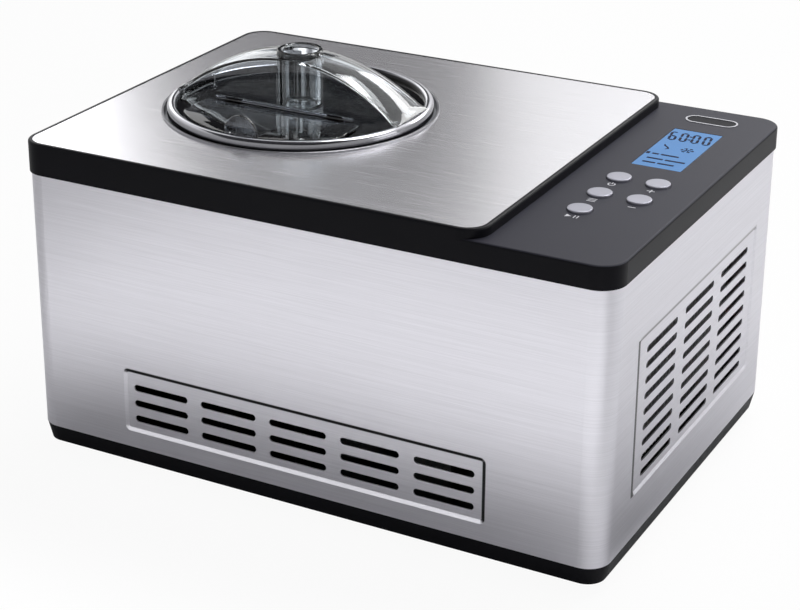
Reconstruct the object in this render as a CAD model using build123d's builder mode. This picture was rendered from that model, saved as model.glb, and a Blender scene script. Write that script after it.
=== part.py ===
from build123d import *

import math
import os

os.makedirs("parts", exist_ok=True)

# Free-standing ice cream maker with its own cooling circuit, in millimetres.
# The origin is on the floor under the cabinet's centre. +X runs towards the control deck,
# -Y is the front and +Z is up.

# Clearances
press_gap = 0.02
run_gap = 0.05
slide_gap = 0.3
fit_gap = 0.3
screw_gap = 0.1

# Cabinet
body_width = 425.0
body_depth = 300.0
corner_radius = 17.0
foot_height = 6.0
tray_height = 12.6
shell_height = 185.1
deck_height = 15.5
raised_step = 6.3
deck_width = 86.7
raised_corner = 16.0
shell_inset = 1.3
sheet = 1.0
edge_round = 1.6

# Base tray and feet
tray_taper = 3.0
tray_floor = 3.0
rib = 2.0
rib_height = 8.0
foot_radius = 12.0
foot_draft = 8.0
foot_neck = 4.8
foot_head = 6.5
foot_head_height = 2.0
foot_margin_x = 40.0
foot_margin_y = 30.0

# Pressed vent panels and their slots
vent_depth = 0.9
vent_slope = 2.6
vent_corner = 4.0
vent_round = 1.5
front_vent_x = -2.0
front_vent_width = 269.5
front_vent_height = 46.4
front_vent_z = 53.8
front_slot_z = 52.2
front_slot_length = 42.3
front_slot_height = 4.8
front_slot_pitch_x = 52.8
front_slot_pitch_z = 11.4
front_slot_columns = 5
front_slot_rows = 3
side_vent_y = 4.2
side_vent_width = 213.0
side_vent_height = 107.8
side_vent_z = 102.2
side_slot_z = 100.6
side_slot_length = 52.0
side_slot_height = 4.5
side_slot_pitch_y = 65.9
side_slot_pitch_z = 10.65
side_slot_columns = 3
side_slot_rows = 9

# Rear panel
rear_return = 18.0
rear_lap = 12.0
rear_slot_length = 34.0
rear_slot_height = 4.0
rear_slot_pitch_x = 42.0
rear_slot_pitch_z = 10.0
rear_slot_columns = 4
rear_slot_rows = 8
rear_slot_from_right = 132.5
rear_slot_z = 104.0
rear_screw_radius = 1.5
rear_screw_head = 3.4
rear_screw_head_height = 1.0
rear_screw_length = 5.0
rear_screw_rows = (50.0, 110.0, 170.0)
gland_from_left = 62.5
gland_z = 48.0
gland_flange = 11.0
gland_flange_height = 1.0
gland_body = 7.5
gland_bore = 3.7
gland_length = 14.0

# Top frame and plate
frame_wall = 5.0
frame_top = 3.0
rim_border = 3.0
plate_recess = 1.2
plate_thickness = 1.0

# Bowl opening, bowl and well
bowl_from_left = 128.5
opening_radius = 95.0
trim_lap = 1.0
trim_height = 1.2
trim_neck = 0.9
trim_round = 0.5
bowl_radius = 76.0
bowl_depth = 122.0
bowl_wall = 1.5
bowl_floor = 2.0
bowl_flange_set_in = 1.5
bowl_flange = 2.0
bowl_tube_radius = 12.5
bowl_tube_wall = 1.5
bowl_tube_height = 92.0
bowl_corner = 8.0
bowl_gap = 0.5
well_wall = 1.5
well_flange = 2.0
well_flange_lap = 15.0
well_screw_lap = 9.0
well_screw_count = 6
well_screw_radius = 2.0
well_screw_head = 3.6
well_screw_head_height = 2.2
well_screw_reach = 2.2

# Lid
lid_gap = 3.0
lid_rim_width = 7.0
lid_rim_height = 6.5
lid_ledge = 2.5
lid_rise = 2.7
disc_thickness = 2.2
seal_thickness = 1.6
seal_width = 5.0
skirt_gap = 1.5
skirt_wall = 2.0
skirt_depth = 10.0
arch_height = 41.0
arch_end_set_in = 5.0
arch_end_rise = 0.5
arch_end_half_width = 22.0
arch_post_cover = 0.5
arch_top = 2.4
arch_wall = 2.0
post_radius = 16.0
post_proud = 1.2
post_cup_radius = 12.4
post_cup_depth = 40.0
pilot_radius = 6.0
pilot_gap = 0.5
pilot_depth = 5.0

# Filler flap and its hinge
flap_half_width = 61.0
flap_rim_gap = 3.0
flap_hinge_gap = 2.9
flap_thickness = 1.8
flap_gap = 0.2
flap_corner = 6.0
filler_half_width = 48.0
filler_front = 66.0
filler_back = 31.0
filler_margin = 3.5
filler_corner = 6.0
hinge_from_centre = 22.0
hinge_rise = 2.4
knuckle_radius = 2.2
pin_radius = 0.9
lug_half_length = 6.0
lug_x = 40.0
knuckle_gap = 0.4
tab_radius = 12.5
tab_thickness = 2.6
tab_set_in = 4.5

# Paddle
paddle_gap = 1.2
paddle_bar = 8.0
paddle_thickness = 4.0
paddle_height = 88.0
paddle_inner_reach = 56.0
paddle_inner_height = 58.0
paddle_corner = 6.0
hub_wall = 3.0
hub_gap = 1.0
hub_socket = 12.0

# Drive shaft and gears
shaft_radius = 5.0
shaft_drive_flats = 8.0
shaft_drive_gap = 0.15
bush_radius = 8.5
bush_length = 9.0
bush_flange = 11.0
bush_flange_height = 2.0
bush_proud = 1.0
seal_ring_radius = 8.0
seal_ring_height = 4.0
pressure_angle = 25.0
addendum = 0.9
dedendum = 1.2
backlash = 0.2
drive_module = 1.5
drive_teeth = 63
idler_pinion_teeth = 14
idler_module = 1.25
idler_teeth = 70
motor_pinion_teeth = 14
idler_direction = -60.0
motor_direction = 0.0
drive_face = 8.0
idler_face = 6.0
gear_gap = 2.0
idler_pin_radius = 3.0

# Gearbox
gearbox_wall = 3.0
gearbox_floor = 4.0
gearbox_cover = 3.0
gearbox_room = 3.0
gearbox_top_gap = 2.0
blind_depth = 3.2
lug_radius = 7.0
lug_angles_drive = (60.0, 170.0)
lug_angles_idler = (230.0, 300.0)
gearbox_screw_radius = 2.0
gearbox_screw_head = 3.6
gearbox_screw_head_height = 2.0
gearbox_screw_bite = 12.0
post_wall = 3.6

# Mixing motor
motor_radius = 30.0
motor_wall = 1.5
motor_floor_gap = 3.0
motor_end_gap = 3.0
motor_shaft_radius = 3.0
stator_bore = 16.0
stator_height = 18.0
rotor_air_gap = 0.5
rotor_height = 20.0
motor_boss = 4.0
motor_screw_circle = 24.0
motor_screw_angles = (-45.0, 45.0)
motor_screw_radius = 1.6
motor_screw_head = 3.0
motor_screw_head_height = 1.8

# Cooling circuit
tube_radius = 4.0
tube_gap = 0.3
turn_count = 7
turn_pitch = 16.0
turn_start = 9.0
turn_gap_angle = 60.0
stub_reach = 10.0
foam_wall = 13.0
foam_floor = 20.0
foam_gap = 0.5

# Compressor
compressor_fan_gap = 6.0
compressor_y = 60.0
compressor_radius = 44.0
compressor_wall = 2.5
compressor_height = 115.0
compressor_seam = 56.0
compressor_lap = 6.0
compressor_round = 16.0
pump_radius = 34.0
pump_height = 78.0
pump_lift = 12.0
foot_plate_x = 106.0
foot_plate_y = 84.0
foot_plate_corner = 8.0
foot_plate = 2.5
grommet_pitch_x = 88.0
grommet_pitch_y = 66.0
grommet_radius = 8.0
grommet_waist = 5.5
grommet_height = 10.0
grommet_bore = 2.6
tray_boss_height = 5.0
bolt_radius = 2.4
bolt_head = 5.0
bolt_head_height = 3.5
terminal_width = 38.0
terminal_depth = 18.0
terminal_height = 32.0
terminal_lift = 34.0
terminal_round = 3.0
stub_rise = 12.0
suction_dx = -10.0
suction_dy = -24.0
discharge_dx = 20.0
discharge_dy = 22.0

# Condenser and fan
condenser_from_right = 25.0
condenser_room = 57.6
condenser_z = 103.8
condenser_height = 104.0
condenser_depth = 22.0
fin_pitch = 6.0
fin_thickness = 0.6
pass_count = 6
pass_pitch = 17.0
condenser_tube = 3.2
condenser_end = 8.0
bracket_thickness = 1.5
bracket_foot = 14.0
shroud_thickness = 2.0
fan_size = 100.0
fan_depth = 25.0
fan_corner = 6.0
fan_bore = 46.0
fan_tip_gap = 1.5
fan_hub = 19.0
fan_hub_gap = 1.0
fan_back = 4.0
fan_strut = 5.0
fan_spindle = 2.0
fan_hub_height = 17.0
fan_blade_count = 7
fan_blade_angle = 38.0
fan_blade_thickness = 1.8
fan_blade_chord = 20.0

# Refrigerant pipes
pipe_bend = 8.0
suction_bend = 14.0
rear_pipe_room = 21.2
inlet_run = 20.0
capillary_radius = 1.5
capillary_over = 12.0
discharge_over = 28.0
drier_radius = 9.0
drier_length = 66.0
drier_neck = 4.5
drier_from_condenser = 37.0
drier_lift = 18.0

# Controls
board_width = 70.0
board_length = 196.0
board_y = 9.0
board_thickness = 1.6
board_drop = 11.0
board_screw_margin = 5.0
board_boss = 4.0
board_screw_radius = 1.3
board_screw_head = 2.6
board_screw_head_height = 1.6
board_screw_reach = 7.0
window_width = 35.0
window_length = 80.0
window_y = 60.0
window_corner = 1.2
window_lip = 2.0
window_lip_height = 1.2
window_sink = 0.1
window_gap = 0.15
display_margin = 4.5
button_radius = 8.0
button_proud = 1.5
button_round = 0.7
button_flange = 9.4
button_flange_height = 1.5
button_stem = 2.5
button_travel = 1.0
button_pitch_x = 26.4
button_rows = (-9.0, -40.7, -72.0)
switch_size = 6.0
switch_height = 5.0
switch_plunger = 0.8
badge_length = 37.0
badge_width = 15.0
badge_from_back = 25.0
badge_depth = 1.0
badge_rim = 1.3
badge_rim_proud = 0.3

# Power board
power_from_right = 118.0
power_from_front = 44.0
power_width = 78.0
power_length = 56.0
power_lift = 14.0
power_post = 4.0
power_margin = 6.0
transformer_size = (34.0, 30.0, 27.0)
transformer_x = -16.0
relay_size = (18.0, 16.0, 16.0)
relay_x = 13.0
terminal_block_size = (10.0, 26.0, 12.0)
terminal_block_x = 29.0

# Levels from the floor up
tray_z = foot_height
floor_z = tray_z + tray_floor
shell_z = tray_z + tray_height
band_z = shell_z + shell_height
deck_z = band_z + deck_height
rim_z = deck_z + raised_step
plate_z = rim_z - plate_recess
plate_top = plate_z + plate_thickness
flange_z = plate_z - frame_top
bowl_rim_z = flange_z + bowl_flange
seal_top = bowl_rim_z + seal_thickness
disc_top = plate_top + lid_rise
disc_z = disc_top - disc_thickness
lid_top = plate_top + lid_rim_height
arch_apex = plate_top + arch_height
bowl_floor_z = bowl_rim_z - bowl_depth
well_floor_z = bowl_floor_z - bowl_floor - bowl_gap
well_base_z = well_floor_z - well_wall
foam_z = well_base_z - foam_gap - foam_floor
gearbox_top = foam_z - gearbox_top_gap
idler_z = gearbox_top - gearbox_cover - gear_gap - drive_face - gear_gap - idler_face
drive_z = idler_z + idler_face + gear_gap
gearbox_z = idler_z - gear_gap - gearbox_floor
motor_z = floor_z + motor_floor_gap
deck_under = deck_z - frame_top
boss_z = floor_z + tray_boss_height
foot_plate_z = boss_z + (grommet_height - foot_plate) / 2
compressor_z = foot_plate_z + foot_plate
compressor_top = compressor_z + compressor_height
stub_top = compressor_top + stub_rise
power_z = floor_z + power_lift
board_top = deck_under - board_drop
board_z = board_top - board_thickness

# Radii and places that follow from one another
lid_radius = opening_radius - lid_gap
rim_bore = lid_radius - lid_rim_width
bowl_flange_radius = lid_radius - bowl_flange_set_in
well_flange_radius = opening_radius + well_flange_lap
well_screw_circle = opening_radius + well_screw_lap
skirt_radius = bowl_radius - skirt_gap
filler_radius = skirt_radius - skirt_wall - filler_margin
arch_half_length = lid_radius - arch_end_set_in
arch_mid_half_width = post_radius + arch_post_cover
hinge_y = -hinge_from_centre
flap_radius = rim_bore - flap_rim_gap
flap_back = hinge_from_centre + flap_hinge_gap
tab_y = tab_set_in - flap_radius
badge_y = body_depth / 2 - badge_from_back

# Outlines and centres
shell_width = body_width - 2 * shell_inset
shell_depth = body_depth - 2 * shell_inset
shell_radius = corner_radius - shell_inset
inner_width = shell_width - 2 * sheet
inner_depth = shell_depth - 2 * sheet
inner_radius = shell_radius - sheet
rear_opening = shell_width - 2 * (shell_radius + rear_return)
raised_x = body_width / 2 - deck_width
raised_mid = (raised_x - body_width / 2) / 2
raised_width = raised_x + body_width / 2
bowl_x = bowl_from_left - body_width / 2
deck_x = body_width / 2 - deck_width / 2
foot_pitch_x = shell_width - 2 * foot_margin_x
foot_pitch_y = shell_depth - 2 * foot_margin_y
well_radius = bowl_radius + bowl_wall + bowl_gap
coil_radius = well_radius + well_wall + tube_gap + tube_radius
foam_bore = math.hypot(coil_radius + tube_radius, turn_pitch / 2 + tube_radius) + foam_gap
foam_radius = foam_bore + foam_wall
gland_x = gland_from_left - body_width / 2
condenser_x = body_width / 2 - condenser_from_right
shroud_x = condenser_x - condenser_depth / 2 - shroud_thickness
fan_x = shroud_x - fan_depth
cap_radius = compressor_radius + compressor_wall + press_gap
compressor_x = fan_x - compressor_fan_gap - cap_radius
power_x = body_width / 2 - power_from_right
power_y = power_from_front - body_depth / 2
drive_pitch = drive_module * drive_teeth / 2
idler_pinion_pitch = drive_module * idler_pinion_teeth / 2
idler_pitch = idler_module * idler_teeth / 2
motor_pinion_pitch = idler_module * motor_pinion_teeth / 2


def polar(centre, distance, degrees):
    """Point at a distance and direction from a centre in plan."""
    angle = math.radians(degrees)
    return (centre[0] + distance * math.cos(angle), centre[1] + distance * math.sin(angle))


bowl_axis = (bowl_x, 0.0)
idler_axis = polar(bowl_axis, drive_pitch + idler_pinion_pitch, idler_direction)
motor_axis = polar(idler_axis, idler_pitch + motor_pinion_pitch, motor_direction)
compressor_axis = (compressor_x, compressor_y)

front_plane = Plane(origin=(0, -shell_depth / 2, 0), x_dir=(1, 0, 0), z_dir=(0, -1, 0))
right_plane = Plane(origin=(shell_width / 2, 0, 0), x_dir=(0, 1, 0), z_dir=(1, 0, 0))
rear_plane = Plane(origin=(0, shell_depth / 2, 0), x_dir=(-1, 0, 0), z_dir=(0, 1, 0))
bowl_section = Plane(origin=(bowl_x, 0, 0), x_dir=(1, 0, 0), z_dir=(0, -1, 0))
bowl_line = Axis((bowl_x, 0, 0), (0, 0, 1))


def save(piece, name):
    """Label a finished piece and write it to its own file."""
    piece.part.label = name
    export_step(piece.part, f"parts/{name}.step")


def level(z, centre=(0.0, 0.0)):
    """Horizontal plane at a height, centred on a point in plan."""
    return Plane(origin=(centre[0], centre[1], z))


def stack(centre, steps):
    """Round piece about a vertical axis, built from (bottom, top, radius, bore) steps."""
    with BuildPart() as piece:
        for bottom, top, radius, bore in steps:
            with BuildSketch(level(bottom, centre)):
                Circle(radius)
                if bore:
                    Circle(bore, mode=Mode.SUBTRACT)
            extrude(amount=top - bottom)
    return piece


def screws(seats, head_radius, head_height, shank_radius, length):
    """One screw on each seat plane: the head stands on it and the shank goes in behind it."""
    with BuildPart() as group:
        for seat in seats:
            with BuildSketch(seat):
                Circle(head_radius)
            extrude(amount=head_height)
            with BuildSketch(seat):
                Circle(shank_radius)
            extrude(amount=-length)
    return group


def pipe(points, radius, bend):
    """Round pipe along straight runs joined by equal bends."""
    with BuildPart() as tube:
        with BuildLine() as route:
            FilletPolyline(*points, radius=bend)
        with BuildSketch(Plane(origin=route.line @ 0, z_dir=route.line % 0)):
            Circle(radius)
        sweep(path=route.line)
    return tube


def gear(plane, module, teeth, phase):
    """Involute gear outline with one tooth centred on the phase direction, in degrees."""
    pitch = module * teeth / 2
    base = pitch * math.cos(math.radians(pressure_angle))
    tip = pitch + addendum * module
    root = pitch - dedendum * module
    pitch_involute = math.tan(math.radians(pressure_angle)) - math.radians(pressure_angle)
    half_tooth = (math.pi * module / 2 - backlash / 2) / (2 * pitch) + pitch_involute
    flank_start = max(base, root)
    flank = []
    for step in range(5):
        radius = flank_start + (tip - flank_start) * step / 4
        roll = math.acos(base / radius)
        flank.append((radius, half_tooth - math.tan(roll) + roll))
    rising = [(r * math.cos(a), -r * math.sin(a)) for r, a in flank]
    falling = [(x, -y) for x, y in reversed(rising)]
    inside = root - module / 2
    foot = flank[0][1]
    with BuildSketch() as tooth:
        with BuildLine():
            Spline(*rising)
            ThreePointArc(rising[-1], (tip, 0), falling[0])
            Spline(*falling)
            Polyline(
                falling[-1],
                (inside * math.cos(foot), inside * math.sin(foot)),
                (inside * math.cos(foot), -inside * math.sin(foot)),
                rising[0],
            )
        make_face()
    with BuildSketch(plane) as outline:
        Circle(root)
        with PolarLocations(0, teeth, start_angle=phase):
            add(tooth.sketch)
    return outline.sketch


def panel_edges(edges, plane, centre, width, height):
    """Edges of a pressed vent panel, on the sheet's face and round the panel's floor."""
    chosen = []
    for edge in edges:
        spot = plane.to_local_coords(edge.center())
        across = abs(spot.X - centre[0]) < width / 2 + run_gap
        upright = abs(spot.Y - centre[1]) < height / 2 + run_gap
        if across and upright and min(abs(spot.Z), abs(spot.Z + vent_depth)) < run_gap:
            chosen.append(edge)
    return chosen


def raised_outline(plane, inset):
    """Outline of the frame's raised part, drawn in by an inset."""
    with BuildSketch(plane) as outline:
        with Locations((raised_mid, 0)):
            Rectangle(raised_width - 2 * inset, body_depth - 2 * inset)
        fillet(outline.vertices().group_by(Axis.X)[0], radius=corner_radius - inset)
        fillet(outline.vertices().group_by(Axis.X)[-1], radius=raised_corner - inset)
    return outline.sketch


# Base tray: tapered black tray with a locating rib inside the cabinet shell
gearbox_hull = (
    (bowl_axis, drive_pitch + addendum * drive_module + gearbox_room),
    (idler_axis, idler_pitch + addendum * idler_module + gearbox_room),
    (motor_axis, motor_pinion_pitch + addendum * idler_module + gearbox_room),
)
gearbox_lugs = [
    polar(bowl_axis, gearbox_hull[0][1] + gearbox_wall + lug_radius / 2, angle)
    for angle in lug_angles_drive
] + [
    polar(idler_axis, gearbox_hull[1][1] + gearbox_wall + lug_radius / 2, angle)
    for angle in lug_angles_idler
]
grommet_points = [
    (compressor_x + sx * grommet_pitch_x / 2, compressor_y + sy * grommet_pitch_y / 2)
    for sx in (-1, 1)
    for sy in (-1, 1)
]
power_points = [
    (
        power_x + sx * (power_width / 2 - power_margin),
        power_y + sy * (power_length / 2 - power_margin),
    )
    for sx in (-1, 1)
    for sy in (-1, 1)
]
rib_width = inner_width - 2 * fit_gap
rib_depth = inner_depth - 2 * fit_gap
rib_radius = inner_radius - fit_gap

with BuildPart() as base_tray:
    with BuildSketch(level(tray_z)):
        RectangleRounded(
            shell_width - 2 * tray_taper, shell_depth - 2 * tray_taper, shell_radius - tray_taper
        )
    with BuildSketch(level(shell_z)):
        RectangleRounded(shell_width, shell_depth, shell_radius)
    loft()
    with BuildSketch(level(shell_z)):
        RectangleRounded(rib_width, rib_depth, rib_radius)
    extrude(amount=rib_height)
    with BuildSketch(level(floor_z)):
        RectangleRounded(rib_width - 2 * rib, rib_depth - 2 * rib, rib_radius - rib)
    extrude(amount=tray_height + rib_height, mode=Mode.SUBTRACT)
    with BuildSketch(level(tray_z)):
        with GridLocations(foot_pitch_x, foot_pitch_y, 2, 2):
            Circle(foot_neck + fit_gap)
    extrude(amount=tray_floor, mode=Mode.SUBTRACT)
    with BuildSketch(level(floor_z)):
        with Locations(*gearbox_lugs):
            Circle(gearbox_screw_radius + post_wall)
    extrude(amount=gearbox_z - floor_z)
    with BuildSketch(level(gearbox_z)):
        with Locations(*gearbox_lugs):
            Circle(gearbox_screw_radius + screw_gap)
    extrude(amount=-gearbox_screw_bite - screw_gap, mode=Mode.SUBTRACT)
    with BuildSketch(level(floor_z)):
        with Locations(*grommet_points):
            Circle(grommet_radius)
    extrude(amount=tray_boss_height)
    with BuildSketch(level(boss_z)):
        with Locations(*grommet_points):
            Circle(bolt_radius + screw_gap)
    extrude(amount=-tray_boss_height, mode=Mode.SUBTRACT)
    with BuildSketch(level(floor_z)):
        with Locations(*power_points):
            Circle(power_post)
    extrude(amount=power_lift)
    with BuildSketch(level(power_z)):
        with Locations(*power_points):
            Circle(board_screw_radius + screw_gap)
    extrude(amount=-board_screw_reach, mode=Mode.SUBTRACT)
save(base_tray, "base_tray")

# Push-in rubber feet
with BuildPart() as rubber_feet:
    with BuildSketch(level(tray_z)):
        with GridLocations(foot_pitch_x, foot_pitch_y, 2, 2):
            Circle(foot_radius)
    extrude(amount=-foot_height, taper=foot_draft)
    with BuildSketch(level(tray_z)):
        with GridLocations(foot_pitch_x, foot_pitch_y, 2, 2):
            Circle(foot_neck)
    extrude(amount=tray_floor)
    with BuildSketch(level(floor_z)):
        with GridLocations(foot_pitch_x, foot_pitch_y, 2, 2):
            Circle(foot_head)
    extrude(amount=foot_head_height)
save(rubber_feet, "rubber_feet")

# Cabinet shell: brushed sheet bent round the front and both sides, with pressed vent panels
vent_panels = (
    (front_plane, (front_vent_x, front_vent_z), front_vent_width, front_vent_height),
    (right_plane, (side_vent_y, side_vent_z), side_vent_width, side_vent_height),
)
rear_screw_x = rear_opening / 2 + rear_lap / 2

with BuildPart() as body_shell:
    with BuildSketch(level(shell_z)):
        RectangleRounded(shell_width, shell_depth, shell_radius)
        RectangleRounded(inner_width, inner_depth, inner_radius, mode=Mode.SUBTRACT)
        with Locations((0, shell_depth / 2)):
            Rectangle(rear_opening, 4 * sheet, mode=Mode.SUBTRACT)
    extrude(amount=shell_height)
    for plane, centre, width, height in vent_panels:
        for start, mode in ((sheet, Mode.ADD), (0, Mode.SUBTRACT)):
            for depth, inset in ((start, 0), (start + vent_depth, vent_slope)):
                with BuildSketch(plane.offset(-depth)):
                    with Locations(centre):
                        RectangleRounded(width - 2 * inset, height - 2 * inset, vent_corner - inset)
            loft(ruled=True, mode=mode)
        pressed = panel_edges(body_shell.edges(), plane, centre, width, height)
        fillet(pressed, radius=vent_round)
    with BuildSketch(front_plane):
        with Locations((front_vent_x, front_slot_z)):
            with GridLocations(front_slot_pitch_x, front_slot_pitch_z, front_slot_columns, front_slot_rows):
                SlotOverall(front_slot_length, front_slot_height)
    extrude(amount=-vent_depth - 2 * sheet, mode=Mode.SUBTRACT)
    with BuildSketch(right_plane):
        with Locations((side_vent_y, side_slot_z)):
            with GridLocations(side_slot_pitch_y, side_slot_pitch_z, side_slot_columns, side_slot_rows):
                SlotOverall(side_slot_length, side_slot_height)
    extrude(amount=-vent_depth - 2 * sheet, mode=Mode.SUBTRACT)
    with BuildSketch(rear_plane):
        for row in rear_screw_rows:
            with Locations((-rear_screw_x, row), (rear_screw_x, row)):
                Circle(rear_screw_radius + screw_gap)
    extrude(amount=-2 * sheet, mode=Mode.SUBTRACT)
save(body_shell, "body_shell")

# Rear panel: plain sheet between the shell's returns, with laps behind them
panel_z = shell_z + shell_height / 2
lap_height = shell_height - 2 * (rib_height + fit_gap)
with BuildPart() as rear_panel:
    with BuildSketch(rear_plane.offset(-sheet)):
        with Locations((0, panel_z)):
            Rectangle(rear_opening - 2 * fit_gap, shell_height)
    extrude(amount=sheet)
    with BuildSketch(rear_plane.offset(-2 * sheet)):
        with Locations((0, panel_z)):
            Rectangle(rear_opening + 2 * rear_lap, lap_height)
            Rectangle(rear_opening - 2 * rear_lap, lap_height, mode=Mode.SUBTRACT)
    extrude(amount=sheet)
    with BuildSketch(rear_plane):
        with Locations((rear_slot_from_right - body_width / 2, rear_slot_z)):
            with GridLocations(rear_slot_pitch_x, rear_slot_pitch_z, rear_slot_columns, rear_slot_rows):
                SlotOverall(rear_slot_length, rear_slot_height)
        with Locations((-gland_x, gland_z)):
            Circle(gland_body + fit_gap)
        for row in rear_screw_rows:
            with Locations((-rear_screw_x, row), (rear_screw_x, row)):
                Circle(rear_screw_radius + screw_gap)
    extrude(amount=-2 * sheet, mode=Mode.SUBTRACT)
save(rear_panel, "rear_panel")

rear_seats = [
    Plane(origin=(side * rear_screw_x, shell_depth / 2, row), z_dir=(0, 1, 0))
    for side in (-1, 1)
    for row in rear_screw_rows
]
rear_screws = screws(
    rear_seats, rear_screw_head, rear_screw_head_height, rear_screw_radius, rear_screw_length
)
save(rear_screws, "rear_screws")

# Cord gland: flanged sleeve through the rear panel
gland_seat = Plane(origin=(gland_x, shell_depth / 2, gland_z), z_dir=(0, 1, 0))
with BuildPart() as cord_gland:
    with BuildSketch(gland_seat):
        Circle(gland_flange)
    extrude(amount=gland_flange_height)
    with BuildSketch(gland_seat):
        Circle(gland_body)
    extrude(amount=-gland_length)
    with BuildSketch(gland_seat.offset(gland_flange_height)):
        Circle(gland_bore)
    extrude(amount=-gland_length - gland_flange_height, mode=Mode.SUBTRACT)
save(cord_gland, "cord_gland")

# Top frame: black band with a raised left part for the top plate and a lower control deck
button_points = [
    (deck_x - button_pitch_x / 2, button_rows[0]),
    (deck_x - button_pitch_x / 2, button_rows[1]),
    (deck_x - button_pitch_x / 2, button_rows[2]),
    (deck_x + button_pitch_x / 2, button_rows[0]),
    (deck_x + button_pitch_x / 2, button_rows[1]),
]
board_points = [
    (
        deck_x + sx * (board_width / 2 - board_screw_margin),
        board_y + sy * (board_length / 2 - board_screw_margin),
    )
    for sx in (-1, 1)
    for sy in (-1, 1)
]
well_screw_points = [
    polar(bowl_axis, well_screw_circle, 360 * turn / well_screw_count) for turn in range(well_screw_count)
]

with BuildPart() as top_frame:
    with BuildSketch(level(band_z)):
        RectangleRounded(body_width, body_depth, corner_radius)
    extrude(amount=deck_height)
    fillet(top_frame.faces().sort_by(Axis.Z)[-1].outer_wire().edges(), radius=edge_round)
    extrude(raised_outline(level(band_z), 0), amount=deck_height + raised_step)
    fillet(top_frame.faces().sort_by(Axis.Z)[-1].outer_wire().edges(), radius=edge_round)
    with BuildSketch(level(band_z)):
        RectangleRounded(rib_width, rib_depth, rib_radius)
    extrude(amount=-rib_height)
    with BuildSketch(level(band_z - rib_height)):
        RectangleRounded(rib_width - 2 * rib, rib_depth - 2 * rib, rib_radius - rib)
    extrude(amount=deck_under - band_z + rib_height, mode=Mode.SUBTRACT)
    extrude(raised_outline(level(band_z), frame_wall), amount=flange_z - band_z, mode=Mode.SUBTRACT)
    extrude(raised_outline(level(plate_z), rim_border), amount=plate_recess, mode=Mode.SUBTRACT)
    with BuildSketch(level(flange_z, bowl_axis)):
        Circle(opening_radius)
    extrude(amount=frame_top + plate_recess, mode=Mode.SUBTRACT)
    with BuildSketch(level(flange_z)):
        with Locations(*well_screw_points):
            Circle(well_screw_radius + screw_gap)
    extrude(amount=well_screw_reach + screw_gap, mode=Mode.SUBTRACT)
    with BuildSketch(level(deck_under)):
        with Locations((deck_x, window_y)):
            RectangleRounded(
                window_width + 2 * window_gap, window_length + 2 * window_gap, window_corner + window_gap
            )
        with Locations(*button_points):
            Circle(button_radius + slide_gap)
    extrude(amount=frame_top, mode=Mode.SUBTRACT)
    with BuildSketch(level(deck_z)):
        with Locations((deck_x, badge_y)):
            SlotOverall(badge_length + 2 * screw_gap, badge_width + 2 * screw_gap)
    extrude(amount=-badge_depth, mode=Mode.SUBTRACT)
    with BuildSketch(level(deck_under)):
        with Locations(*board_points):
            Circle(board_boss)
    extrude(amount=-board_drop)
    with BuildSketch(level(board_top)):
        with Locations(*board_points):
            Circle(board_screw_radius + screw_gap)
    extrude(amount=board_screw_reach, mode=Mode.SUBTRACT)
save(top_frame, "top_frame")

# Top plate: brushed sheet set into the raised part
with BuildPart() as top_plate:
    extrude(raised_outline(level(plate_z), rim_border + screw_gap), amount=plate_thickness)
    with BuildSketch(level(plate_z, bowl_axis)):
        Circle(opening_radius)
    extrude(amount=plate_thickness, mode=Mode.SUBTRACT)
save(top_plate, "top_plate")

# Trim ring that caps the edge of the bowl opening
trim_outer = opening_radius - screw_gap
trim_bore = trim_outer - trim_neck
with BuildPart() as trim_ring:
    with BuildSketch(level(plate_top, bowl_axis)):
        Circle(opening_radius + trim_lap)
        Circle(trim_bore, mode=Mode.SUBTRACT)
    extrude(amount=trim_height)
    fillet(trim_ring.edges().group_by(Axis.Z)[-1], radius=trim_round)
    with BuildSketch(level(plate_top, bowl_axis)):
        Circle(trim_outer)
        Circle(trim_bore, mode=Mode.SUBTRACT)
    extrude(amount=flange_z - plate_top)
save(trim_ring, "trim_ring")

# Lift-out bowl with a centre tube for the drive shaft
tube_top = bowl_floor_z + bowl_tube_height
tube_bore = bowl_tube_radius - bowl_tube_wall
bowl_base_z = bowl_floor_z - bowl_floor
bowl_outer = bowl_radius + bowl_wall
bowl_outer_corner = bowl_corner + bowl_wall
with BuildPart() as bowl:
    with BuildSketch(bowl_section) as bowl_profile:
        with BuildLine():
            Polyline(
                (tube_bore, bowl_base_z),
                (bowl_outer, bowl_base_z),
                (bowl_outer, bowl_rim_z - bowl_flange),
                (bowl_flange_radius, bowl_rim_z - bowl_flange),
                (bowl_flange_radius, bowl_rim_z),
                (bowl_radius, bowl_rim_z),
                (bowl_radius, bowl_floor_z),
                (bowl_tube_radius, bowl_floor_z),
                (bowl_tube_radius, tube_top),
                (tube_bore, tube_top),
                close=True,
            )
        make_face()
        fillet(
            bowl_profile.vertices().sort_by_distance((bowl_outer, bowl_base_z))[0],
            radius=bowl_outer_corner,
        )
        fillet(
            bowl_profile.vertices().sort_by_distance((bowl_radius, bowl_floor_z))[0],
            radius=bowl_corner,
        )
    revolve(axis=bowl_line)
save(bowl, "bowl")

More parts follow.
